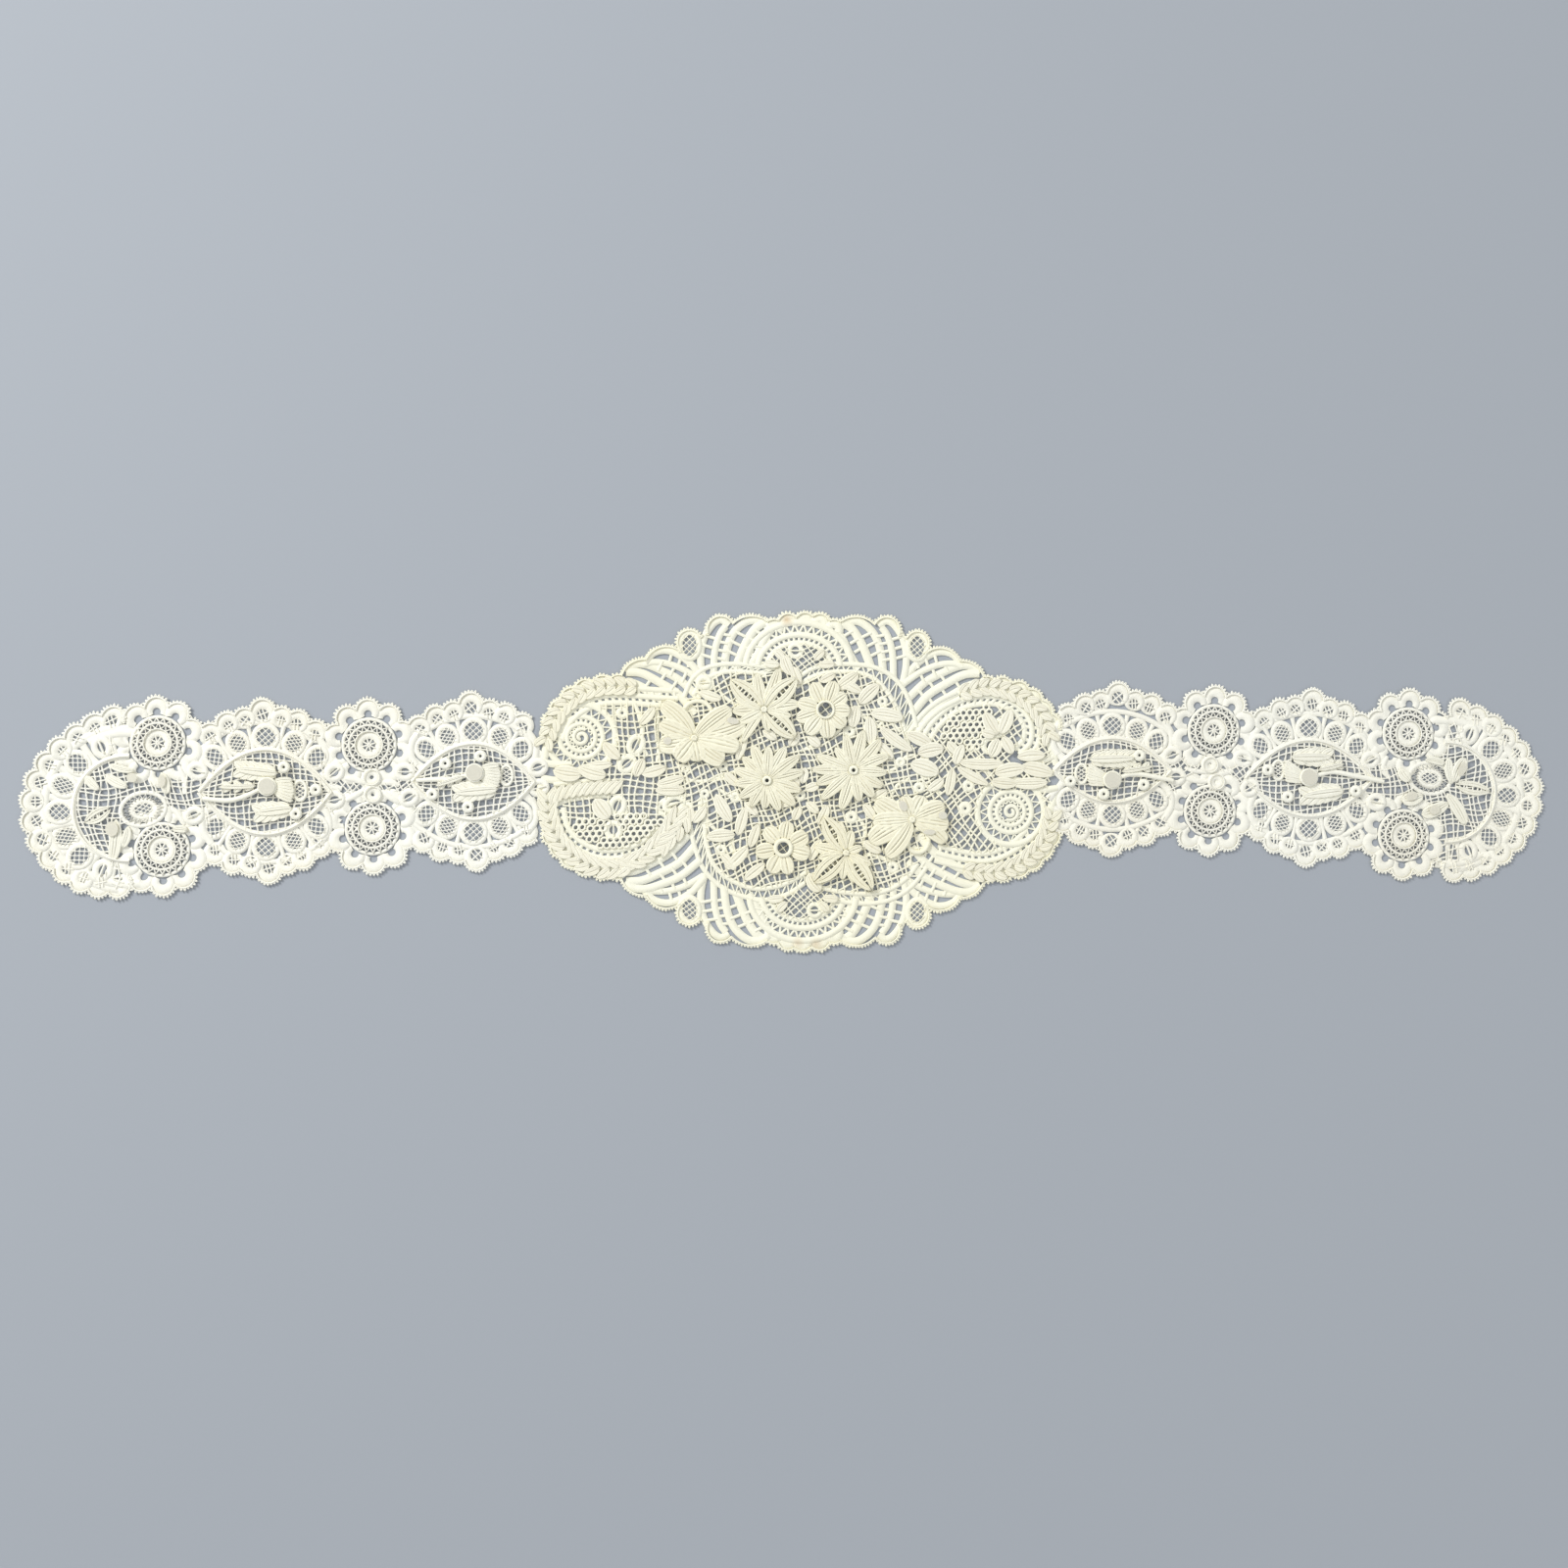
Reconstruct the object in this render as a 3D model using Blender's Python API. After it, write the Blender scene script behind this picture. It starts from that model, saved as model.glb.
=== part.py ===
"""Floral bobbin lace: a lozenge medallion with two scalloped arms and raised flowers.

The piece lies face up on z = 0 with its long side on X. Lengths in the tables are
millimetres; every object is made in metres.
"""

import math

import bmesh
import bpy

# Driving sizes, mm
SHEET = 1.2  # thickness of the worked sheets
GAP = 0.3  # between pieces that touch in the real lace
WALL = 1.3  # least width of thread left between two openings
RIM = 1.9  # least width of the edge tape beside an opening
STEP_DEG = 24.0  # one straight piece of a scallop's edge
NET_PITCH = 6.8  # opening pitch of the ground, twice the real mesh
NET_BAR = 1.9  # bar left between two ground openings
NET_SHIFT = 0.5  # how far every other column of openings stands higher
SLOT_BAR = 1.6  # cross bar in a border slot
MEDALLION_END = 137.0  # half length of the medallion
JOIN_SAG = 3.0  # how far the joining edge curves back
JOIN_HALF = 31.0  # half height of the joining edge
EYE_HALF = 30.5  # half length of an arm's almond window

# Scallops of one quarter of the medallion's edge: (name, x, y, radius)
QUARTER_LOBES = (
    ("crown", 0.5, 83.6, 5.4),
    ("crown_side", 8.3, 83.0, 5.4),
    ("crown_end", 15.8, 80.2, 5.2),
    ("arch", 27.5, 73.0, 14.0),
    ("long_loop", 43.7, 79.8, 7.1),
    ("netted_loop", 60.0, 73.2, 6.3),
    ("fan_inner", 72.0, 59.3, 11.5),
    ("fan_outer", 84.0, 52.3, 11.7),
    ("leaf_1", 97.0, 50.5, 5.4),
    ("leaf_2", 105.3, 50.0, 5.5),
    ("leaf_3", 114.0, 47.6, 5.7),
    ("leaf_4", 121.0, 43.5, 5.7),
    ("leaf_5", 126.5, 37.5, 5.7),
    ("leaf_6", 130.5, 30.5, 5.7),
)
# How much lower each quarter is: (name, sign x, sign y, height at the middle, loss by x = 100)
QUARTERS = (
    ("upper_right", 1, 1, 1.0, 0.0),
    ("upper_left", -1, 1, 1.0, 0.0),
    ("lower_left", -1, -1, 1.0, 0.10),
    ("lower_right", 1, -1, 1.0, 0.06),
)
# Long openings between the tapes of a quarter's border: (name, x0, y0, x1, y1, bow, width, holes)
BORDER_SLOTS = (
    ("fan_b", 57.0, 50.8, 82.0, 62.4, 1.7, 3.0, 4),
    ("fan_c", 57.0, 41.8, 80.0, 58.0, 0.8, 2.8, 4),
    ("fan_d", 61.5, 36.3, 89.0, 55.5, 1.3, 2.6, 4),
    ("loop_a", 51.0, 60.6, 45.2, 80.0, -2.3, 3.4, 3),
    ("loop_b", 38.6, 62.0, 29.0, 81.4, -2.5, 3.2, 4),
    ("loop_c", 30.3, 64.5, 20.0, 82.0, -1.6, 2.3, 3),
    ("net_loop", 59.4, 66.6, 60.4, 76.0, 0.0, 4.4, 2),
    ("crown_net", 19.0, 69.0, 1.6, 80.8, -3.8, 3.0, 3),
)
# Double rails with zigzag bars: (name, cx, cy, radius, start, end, holes), degrees
RAILS = (
    ("upper_right", 20.0, 24.5, 35.4, 10.0, 126.0, 11),
    ("lower_left", -20.0, -24.5, 35.4, 190.0, 306.0, 11),
    ("upper_left", -33.0, 24.0, 37.0, 80.0, 140.0, 6),
    ("lower_right", 33.0, -24.0, 37.0, 260.0, 320.0, 6),
)
RAIL_GAP = 3.4
GROUND_TURN = 8.0  # degrees, lean of the medallion's ground
# Where the square ground shows, each with its twin half a turn round: (name, cx, cy, half x, half y)
GROUND = (
    ("rail_round", 20.0, 24.5, 29.5, 29.5),
    ("middle", 0.0, 0.0, 58.0, 8.0),
    ("leaf_oval", -101.0, -21.5, 20.5, 11.0),
    ("side_pocket", -89.0, 30.0, 9.5, 9.5),
)

# Raised flowers: (node, kind, x, y, turn, radius, stretch along and across its turn)
FLOWERS = (
    ("lily_upper", "lily", -57.0, 25.0, 20.0, 20.5, 1.1, 0.86),
    ("lily_lower", "lily", 58.0, -23.5, 200.0, 20.5, 1.1, 0.86),
    ("daisy_upper", "daisy", 11.5, 38.0, 0.0, 12.0, 1.0, 1.0),
    ("daisy_lower", "daisy", -11.0, -34.0, 15.0, 13.0, 1.0, 1.0),
    ("aster_right", "aster", 26.0, 6.5, 0.0, 17.0, 1.1, 1.0),
    ("aster_left", "aster", -19.5, 0.5, 10.0, 17.0, 1.0, 1.1),
    ("spray_upper", "spray", -21.5, 38.5, 0.0, 16.0, 1.0, 1.0),
    ("spray_lower", "spray", 22.0, -38.5, 0.0, 16.0, 1.0, 1.0),
)
# Relief of each kind: (petals, notch depth, sharpness, lift mm, angular steps a petal)
RELIEF = {
    "lily": (6, 0.30, 0.55, 1.5, 8),
    "daisy": (8, 0.34, 0.50, 0.9, 6),
    "aster": (14, 0.24, 0.60, 1.1, 4),
    "spray": (8, 0.52, 1.10, 1.0, 6),
    "thistle": (6, 0.30, 0.80, 1.1, 8),
}
FLOWER_BED = 0.8  # share of a flower's radius under which the sheet is closed
RELIEF_EDGE = 0.5  # height of a flower's rim, mm
RELIEF_RINGS = 4

# Scallops along one side of an arm's window, from its centre: (name, along, out, radius)
EYE_LOBES = (
    ("near_3", -26.0, 28.0, 5.7),
    ("near_2", -17.4, 33.8, 5.5),
    ("near_1", -9.2, 36.2, 5.3),
    ("middle", 0.2, 39.9, 6.1),
    ("far_1", 9.4, 36.4, 5.3),
    ("far_2", 18.2, 34.4, 5.5),
    ("far_3", 27.0, 29.2, 5.7),
)
# Stations along an arm: (name, along, half height of window or out of rosette)
EYES = (("eye_1", 30.8, 18.6), ("eye_2", 136.8, 20.9))
ROSETTES = (("rosette_1", 83.7, 21.5), ("rosette_2", 190.3, 27.4))
ROSETTE_PETAL_DEG = (-72, -36, 0, 36, 72)  # petals with an opening, from straight out
ROSETTE_PETAL_AT = 17.6
ROSETTE_PETAL_R = 5.9
ROSETTE_HOLE_AT = 15.6
ROSETTE_HOLE = (2.3, 1.8)  # half length and half width of a petal's opening
ROSETTE_NET_R = 13.5  # reach of a rosette's fine net, which stays uncut
THISTLE_BED = (9.2, 1.45, 1.0)  # closed cloth under a thistle: radius, stretch along and across
OVAL_BED = (7.5, 1.3, 1.0)  # closed cloth of the oval rosette in the rounded end
OVAL_BEHIND = 8.5  # how far it lies behind the rounded end's centre
EYE_SPREAD = 1.3  # how much further out the second window's scallops stand
FAN_ALONG = 211.5  # centre of the rounded end
FAN_REACH = 43.2
FAN_TIP = 3.0  # how much further the end scallop stands
FAN_SCALLOPS = 14
FAN_HALF_DEG = 84.0
FAN_GROUND_R = 22.0  # how far the ground reaches from the rounded end's centre
FAN_SCALLOP_R = 5.8

# Arms: (node, join x, join y, turn degrees, how much longer its rounded end is)
ARMS = (
    ("left_arm", -140.7, 1.8, 182.2, -3.6),
    ("right_arm", 134.5, 6.8, -2.7, 2.5),
)
# How far each arm's middle line wanders sideways: along mm -> drift mm
DRIFT = {
    "left_arm": ((0.0, 0.0), (84.0, 0.9), (137.0, 1.3), (190.0, 1.8), (242.0, 7.0)),
    "right_arm": ((0.0, 0.6), (84.0, 3.2), (137.0, 2.0), (190.0, 0.9), (242.0, -2.4)),
}
# Thistle in each window
THISTLE_AHEAD = 0.5  # past the window's centre
THISTLE_R = 12.5
THISTLE_STRETCH = (1.25, 0.82)  # along and across the arm


def clear_scene():
    """Remove every object of the startup scene."""
    for obj in list(bpy.data.objects):
        bpy.data.objects.remove(obj)


def collection_of(name):
    """A new collection linked to the scene."""
    made = bpy.data.collections.new(name)
    bpy.context.scene.collection.children.link(made)
    return made


def thread_material(name, colour, roughness):
    """Matt linen thread."""
    material = bpy.data.materials.new(name)
    material.use_nodes = True
    shader = material.node_tree.nodes["Principled BSDF"]
    shader.inputs["Base Color"].default_value = colour
    shader.inputs["Roughness"].default_value = roughness
    material.diffuse_color = colour
    return material


# ---------------------------------------------------------------- flat geometry


def polar(cx, cy, radius, degrees):
    """The point at this angle on a circle."""
    turn = math.radians(degrees)
    return cx + radius * math.cos(turn), cy + radius * math.sin(turn)


def blend(table, at):
    """Smoothly read a drift table."""
    if at <= table[0][0]:
        return table[0][1]
    for (a, low), (b, high) in zip(table, table[1:]):
        if at <= b:
            share = (at - a) / (b - a)
            return low + (high - low) * share * share * (3 - 2 * share)
    return table[-1][1]


def inside(point, polygon):
    """Whether a point lies in a closed polygon."""
    x, y = point
    found = False
    for (ax, ay), (bx, by) in zip(polygon, polygon[1:] + polygon[:1]):
        if (ay > y) != (by > y) and x < (bx - ax) * (y - ay) / (by - ay) + ax:
            found = not found
    return found


def to_segment(point, a, b):
    """Distance of a point from a segment."""
    dx, dy = b[0] - a[0], b[1] - a[1]
    length = dx * dx + dy * dy
    share = 0.0
    if length:
        share = ((point[0] - a[0]) * dx + (point[1] - a[1]) * dy) / length
        share = min(1.0, max(0.0, share))
    return math.hypot(point[0] - a[0] - share * dx, point[1] - a[1] - share * dy)


def apart(first, second):
    """Least distance between the edges of two polygons."""
    edges_1 = list(zip(first, first[1:] + first[:1]))
    edges_2 = list(zip(second, second[1:] + second[:1]))
    return min(
        min(to_segment(p, a, b) for p in first for a, b in edges_2),
        min(to_segment(p, a, b) for p in second for a, b in edges_1),
    )


def meeting(a, b, centre):
    """Where two neighbouring scallops meet on the side away from the centre."""
    (ax, ay, ar), (bx, by, br) = a, b
    dx, dy = bx - ax, by - ay
    span = math.hypot(dx, dy)
    along = (span * span + ar * ar - br * br) / (2 * span)
    rise = math.sqrt(max(0.0, ar * ar - along * along))
    x, y = ax + dx / span * along, ay + dy / span * along
    ends = [(x - dy / span * rise, y + dx / span * rise), (x + dy / span * rise, y - dx / span * rise)]
    if span >= ar + br:  # a gap is bridged a little way in
        inward = math.hypot(x - centre[0], y - centre[1])
        return x - (x - centre[0]) / inward, y - (y - centre[1]) / inward
    return max(ends, key=lambda p: math.hypot(p[0] - centre[0], p[1] - centre[1]))


def arc_between(circle, start, end, way):
    """Points on a scallop from start to end, anticlockwise where way is 1."""
    x, y, radius = circle
    a = math.degrees(math.atan2(start[1] - y, start[0] - x))
    b = math.degrees(math.atan2(end[1] - y, end[0] - x))
    turn = (way * (b - a)) % 360.0
    if turn > 300.0:
        return []
    count = max(1, round(turn / STEP_DEG))
    return [polar(x, y, radius, a + way * turn * k / count) for k in range(1, count)]


def chain_edge(circles, middle, way):
    """The outer edge of a row of scallops, between its first and its last."""
    meets = [meeting(a, b, middle(a)) for a, b in zip(circles, circles[1:])]
    points = []
    for k, circle in enumerate(circles[1:-1]):
        points.append(meets[k])
        points += arc_between(circle, meets[k], meets[k + 1], way)
    return points + [meets[-1]]


def round_hole(x, y, half_x, half_y, turn, sides=6):
    """A rounded opening, its length turned to this angle."""
    c, s = math.cos(math.radians(turn)), math.sin(math.radians(turn))
    ring = []
    for k in range(sides):
        px, py = polar(0, 0, 1, 360.0 * k / sides)
        px, py = px * half_x, py * half_y
        ring.append((x + px * c - py * s, y + px * s + py * c))
    return ring


def slot_holes(x0, y0, x1, y1, bow, width, count):
    """A bowed slot split by cross bars into count openings."""
    dx, dy = x1 - x0, y1 - y0
    length = math.hypot(dx, dy)
    nx, ny = -dy / length, dx / length
    made = []
    for k in range(count):
        low = k / count + SLOT_BAR / 2 / length
        high = (k + 1) / count - SLOT_BAR / 2 / length
        ring = []
        for side, shares in ((-1, (low, (low + high) / 2, high)), (1, (high, (low + high) / 2, low))):
            for share in shares:
                off = bow * 4 * share * (1 - share) + side * width / 2
                ring.append((x0 + dx * share + nx * off, y0 + dy * share + ny * off))
        made.append(ring)
    return made


def rail_holes(cx, cy, radius, start, end, count):
    """Openings between two rails, split by slanting bars."""
    made = []
    step = (end - start) / count
    for k in range(count):
        low, high = start + step * (k + 0.13), start + step * (k + 0.87)
        lean = step * (0.10 if k % 2 else -0.10)
        ring = [
            polar(cx, cy, radius - RAIL_GAP / 2, low - lean),
            polar(cx, cy, radius - RAIL_GAP / 2, high + lean),
            polar(cx, cy, radius + RAIL_GAP / 2, high - lean),
            polar(cx, cy, radius + RAIL_GAP / 2, low + lean),
        ]
        made.append(ring)
    return made


def ground_holes(half_x, half_y, turn, cx=0.0, cy=0.0):
    """Square openings of the ground over a rectangle, in rows turned about its centre."""
    half = (NET_PITCH - NET_BAR) / 2
    c, s = math.cos(math.radians(turn)), math.sin(math.radians(turn))
    made = []
    for j in range(-int(half_y / NET_PITCH), int(half_y / NET_PITCH) + 1):
        for i in range(-int(half_x / NET_PITCH), int(half_x / NET_PITCH) + 1):
            x, y = i * NET_PITCH, j * NET_PITCH + NET_SHIFT * (i % 2)
            corners = [(x - half, y - half), (x + half, y - half), (x + half, y + half), (x - half, y + half)]
            made.append([(cx + px * c - py * s, cy + px * s + py * c) for px, py in corners])
    return made


def fitting(candidates, outline, solid_discs, kept=()):
    """The candidates that lie inside the outline, clear of each other and of the solid motifs."""
    made = list(kept)
    for hole in candidates:
        cx = sum(p[0] for p in hole) / len(hole)
        cy = sum(p[1] for p in hole) / len(hole)
        if not all(inside(p, outline) for p in hole) or apart(hole, outline) < RIM:
            continue
        if any(
            math.hypot((p[0] - x) / sx, (p[1] - y) / sy) < r
            for x, y, r, sx, sy in solid_discs
            for p in hole
        ):
            continue
        near = [o for o in made if math.hypot(o[0][0] - cx, o[0][1] - cy) < 18]
        if any(inside((cx, cy), o) or inside(o[0], hole) or apart(hole, o) < WALL for o in near):
            continue
        made.append(hole)
    return made[len(kept):]


# ---------------------------------------------------------------- medallion


def lowered(quarter, x):
    """Height factor of a quarter at this distance from the middle."""
    _, _, _, top, loss = quarter
    share = min(1.0, abs(x) / 100.0)
    return top - loss * share * share * (3 - 2 * share)


def in_quarter(quarter, x, y):
    """A point of the first quarter carried to another."""
    _, sx, sy, _, _ = quarter
    return sx * x, sy * y * lowered(quarter, x)


def join_x(y):
    """How far out the joining edge stands at this height."""
    return MEDALLION_END - JOIN_SAG * ((y - 3.0) / JOIN_HALF) ** 2


def join_edge(x_sign, start, end, offset):
    """Points down or up a joining edge."""
    heights = [start + (end - start) * k / 6 for k in range(7)]
    return [(x_sign * (join_x(y) + offset), y) for y in heights]


def medallion_outline():
    """Edge of the medallion, anticlockwise from the top of its right end."""
    rows = []
    for right, left in (("upper_right", "upper_left"), ("lower_left", "lower_right")):
        row = []
        for name in (right, left):
            quarter = next(q for q in QUARTERS if q[0] == name)
            circles = [(*in_quarter(quarter, x, y), r) for _, x, y, r in QUARTER_LOBES]
            foot = circles[-1]
            circles.append((foot[0] + quarter[1] * 2.0, foot[1] - quarter[2] * 7.5, foot[2]))
            row += circles[::-1] if name == right else circles[1:]
        rows.append(chain_edge(row, lambda c: (c[0] / 2, 0.0), 1))
    top, bottom = ([(max(-join_x(y), min(join_x(y), x)), y) for x, y in row] for row in rows)
    points = top + join_edge(-1, top[-1][1], bottom[0][1], 0.0)[1:-1]
    points += bottom + join_edge(1, bottom[-1][1], top[0][1], 0.0)[1:-1]
    return [p for k, p in enumerate(points) if math.dist(p, points[k - 1]) > 0.4]


def motif_discs():
    """Ellipses under the raised flowers, where the sheet is closed."""
    return [(x, y, r * FLOWER_BED, sx, sy) for _, _, x, y, _, r, sx, sy in FLOWERS]


def on_ground(hole):
    """Whether an opening lies wholly in one of the ground's areas."""
    for _, cx, cy, half_x, half_y in GROUND:
        for sign in (1, -1):
            if all(math.hypot((x - sign * cx) / half_x, (y - sign * cy) / half_y) < 1 for x, y in hole):
                return True
    return False


def medallion_holes(outline):
    """Openings of the medallion, largest repeats first."""
    holes = []
    for quarter in QUARTERS:
        for _, x0, y0, x1, y1, bow, width, count in BORDER_SLOTS:
            for ring in slot_holes(x0, y0, x1, y1, bow, width, count):
                holes.append([in_quarter(quarter, x, y) for x, y in ring])
    for _, cx, cy, radius, start, end, count in RAILS:
        holes += rail_holes(cx, cy, radius, start, end, count)
    holes = fitting(holes, outline, motif_discs())
    net = ground_holes(MEDALLION_END - 12.0, 58.0, GROUND_TURN)
    net = [ring for ring in net if on_ground(ring)]
    return holes + fitting(net, outline, motif_discs(), holes)


# ---------------------------------------------------------------- arms


class ArmFrame:
    """Carries points along and across an arm into the world."""

    def __init__(self, node, x, y, turn, longer):
        self.node = node
        self.x, self.y = x, y
        self.fan_along = FAN_ALONG + longer
        self.c, self.s = math.cos(math.radians(turn)), math.sin(math.radians(turn))

    def world(self, along, out):
        out += blend(DRIFT[self.node], along)
        return self.x + along * self.c - out * self.s, self.y + along * self.s + out * self.c


def eye_lobes(side):
    """Scallops beside both windows on one side of an arm."""
    rows = []
    for k, (_, along, _) in enumerate(EYES):
        rows.append([(along + a, side * (o + k * EYE_SPREAD), r) for _, a, o, r in EYE_LOBES])
    return rows


def rosette_lobes(index, side, angles):
    """Free petals of one rosette, as scallops."""
    _, along, out = ROSETTES[index]
    made = []
    for degrees in angles:
        x, y = polar(along, out, ROSETTE_PETAL_AT, 90.0 - degrees)
        made.append((x, side * y, ROSETTE_PETAL_R))
    return made


def fan_lobes(fan_along):
    """Scallops round an arm's end, from one side to the other."""
    made = []
    for k in range(FAN_SCALLOPS):
        degrees = FAN_HALF_DEG * (1 - 2 * k / (FAN_SCALLOPS - 1))
        reach = FAN_REACH + FAN_TIP * math.cos(math.radians(degrees)) ** 4
        x, y = polar(fan_along, 0.0, reach, degrees)
        made.append((x, y, FAN_SCALLOP_R))
    return made


def arm_outline(frame):
    """Edge of an arm in the world, from the join round the end and back."""
    def side_row(side):
        first, second = eye_lobes(side)
        return (
            first
            + rosette_lobes(0, side, (-72, -36, 0, 36, 72))
            + second
            + rosette_lobes(1, side, (-72, -36, 0, 36, 66))
        )

    row = [(-4.0, 27.0, 6.0)] + side_row(1) + fan_lobes(frame.fan_along)
    row += side_row(-1)[::-1] + [(-4.0, -27.0, 6.0)]
    points = chain_edge(row, lambda c: (min(c[0], frame.fan_along), 0.0), -1)
    placed = [frame.world(x, y) for x, y in points]
    return [p for k, p in enumerate(placed) if math.dist(p, placed[k - 1]) > 0.4]


def joined(points, x_sign):
    """The arm's edge closed along the medallion's end, a gap away from it."""
    kept = [(x, y) for x, y in points if x_sign * x > join_x(y) + GAP + 0.5]
    return kept + join_edge(x_sign, kept[-1][1], kept[0][1], GAP)


def arm_holes(frame, outline):
    """Openings of an arm, largest repeats first."""
    local = []
    for _, along, out in ROSETTES:
        for side in (1, -1):
            for lean in ROSETTE_PETAL_DEG:
                degrees = 90.0 - lean
                x, y = polar(along, out, ROSETTE_HOLE_AT, degrees)
                local.append(round_hole(x, side * y, *ROSETTE_HOLE, side * degrees))
    solid = [(*frame.world(along, 0.0), *THISTLE_BED) for _, along, _ in EYES]
    holes = fitting([[frame.world(*p) for p in ring] for ring in local], outline, ())
    net = []
    for _, along, half in EYES:
        for ring in ground_holes(EYE_HALF, half, 0.0, along, 0.0):
            if min(half * (1 - ((x - along) / EYE_HALF) ** 2) - abs(y) for x, y in ring) > 0.2:
                net.append(ring)
    for ring in ground_holes(FAN_GROUND_R, FAN_GROUND_R, 0.0, frame.fan_along, 0.0):
        if all(math.hypot(x - frame.fan_along, y) < FAN_GROUND_R for x, y in ring):
            net.append(ring)
    _, along, out = ROSETTES[1]
    solid += [(*frame.world(along, side * out), ROSETTE_NET_R, 1.0, 1.0) for side in (1, -1)]
    solid.append((*frame.world(frame.fan_along - OVAL_BEHIND, 0.0), *OVAL_BED))
    return holes + fitting([[frame.world(*p) for p in ring] for ring in net], outline, solid, holes)


# ---------------------------------------------------------------- solids


def add_ring(curve, points):
    """One closed straight-sided spline, in metres."""
    spline = curve.splines.new("POLY")
    spline.points.add(len(points) - 1)
    for slot, (x, y) in zip(spline.points, points):
        slot.co = (x / 1000, y / 1000, 0.0, 1.0)
    spline.use_cyclic_u = True


def sheet_object(name, outline, holes, collection, material):
    """A flat sheet with its openings cut through, its underside on z = 0."""
    curve = bpy.data.curves.new(name, "CURVE")
    curve.dimensions = "2D"
    curve.fill_mode = "BOTH"
    curve.extrude = SHEET / 2000
    add_ring(curve, outline)
    for hole in holes:
        add_ring(curve, hole)
    curve.materials.append(material)
    made = bpy.data.objects.new(name, curve)
    made.location.z = SHEET / 2000
    collection.objects.link(made)
    return made


def petal_profile(kind, degrees):
    """(edge radius share, ridge share) at an angle of a flower."""
    petals, notch, sharp, _, _ = RELIEF[kind]
    wave = abs(math.cos(math.radians(degrees * petals / 2))) ** sharp
    return 1.0 - notch + notch * wave, wave


def flower_object(name, kind, centre, turn, radius, stretch, collection, material):
    """A raised flower: a flat back, a low rim and petals that swell and sink to the heart."""
    petals, _, _, lift, steps = RELIEF[kind]
    angles = [360.0 * k / (petals * steps) for k in range(petals * steps)]
    mesh = bmesh.new()

    def corner(share, degrees, height):
        edge, _ = petal_profile(kind, degrees)
        x, y = polar(0.0, 0.0, radius * edge * share, degrees)
        return mesh.verts.new((x * stretch[0] / 1000, y * stretch[1] / 1000, height / 1000))

    rings = [[corner(1.0, a, 0.0) for a in angles]]
    for k in range(RELIEF_RINGS):
        share = 1.0 - k / RELIEF_RINGS
        swell = lift * math.sin(math.pi * share ** 0.8) ** 0.8 if k else 0.0
        heights = [RELIEF_EDGE + swell * (0.35 + 0.65 * petal_profile(kind, a)[1]) for a in angles]
        rings.append([corner(share, a, height) for a, height in zip(angles, heights)])
    heart = corner(0.0, 0.0, RELIEF_EDGE + 0.35 * lift)
    foot = corner(0.0, 0.0, 0.0)
    for k in range(len(angles)):
        n = (k + 1) % len(angles)
        for low, high in zip(rings, rings[1:]):
            mesh.faces.new((low[k], low[n], high[n], high[k]))
        mesh.faces.new((rings[-1][k], rings[-1][n], heart))
        mesh.faces.new((rings[0][n], rings[0][k], foot))
    bmesh.ops.recalc_face_normals(mesh, faces=mesh.faces)
    data = bpy.data.meshes.new(name)
    mesh.to_mesh(data)
    mesh.free()
    data.materials.append(material)
    made = bpy.data.objects.new(name, data)
    made.location = (centre[0] / 1000, centre[1] / 1000, (SHEET + GAP) / 1000)
    made.rotation_euler.z = math.radians(turn)
    collection.objects.link(made)
    return made


def main():
    """Build the sheets, then the flowers that lie on them."""
    clear_scene()
    lace = collection_of("bobbin_lace")
    cream = thread_material("lace_medallion", (0.88, 0.82, 0.66, 1.0), 0.85)
    white = thread_material("lace_arms", (0.92, 0.90, 0.82, 1.0), 0.85)
    relief = thread_material("lace_flowers", (0.90, 0.84, 0.69, 1.0), 0.8)

    outline = medallion_outline()
    sheet_object("medallion", outline, medallion_holes(outline), lace, cream)
    for node, x, y, turn, longer in ARMS:
        frame = ArmFrame(node, x, y, turn, longer)
        edge = joined(arm_outline(frame), -1 if x < 0 else 1)
        sheet_object(node, edge, arm_holes(frame, edge), lace, white)
        for (_, along, _), place in zip(EYES, ("inner", "outer")):
            name = f"thistle_{node.split('_')[0]}_{place}"
            centre = frame.world(along + THISTLE_AHEAD, 0.0)
            flower_object(name, "thistle", centre, turn, THISTLE_R, THISTLE_STRETCH, lace, relief)
    for node, kind, x, y, turn, radius, sx, sy in FLOWERS:
        flower_object(node, kind, (x, y), turn, radius, (sx, sy), lace, relief)


main()
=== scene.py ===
"""Looks of a bobbin lace edging: a lozenge medallion with two scalloped arms, laid flat.

The layout is worked in millimetres in the row frame, on the model's own x and y. A pricking holds
the tapes, cords, strands and picot edges of one part of the lace. Geometry Nodes sweep and repeat
the thread along them, and the raised petals are relief meshes. Every mesh is made in metres.
"""

from __future__ import annotations

import logging
import math
from collections.abc import Callable, Iterable, Sequence
from dataclasses import dataclass, field, replace
from enum import Enum

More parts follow.
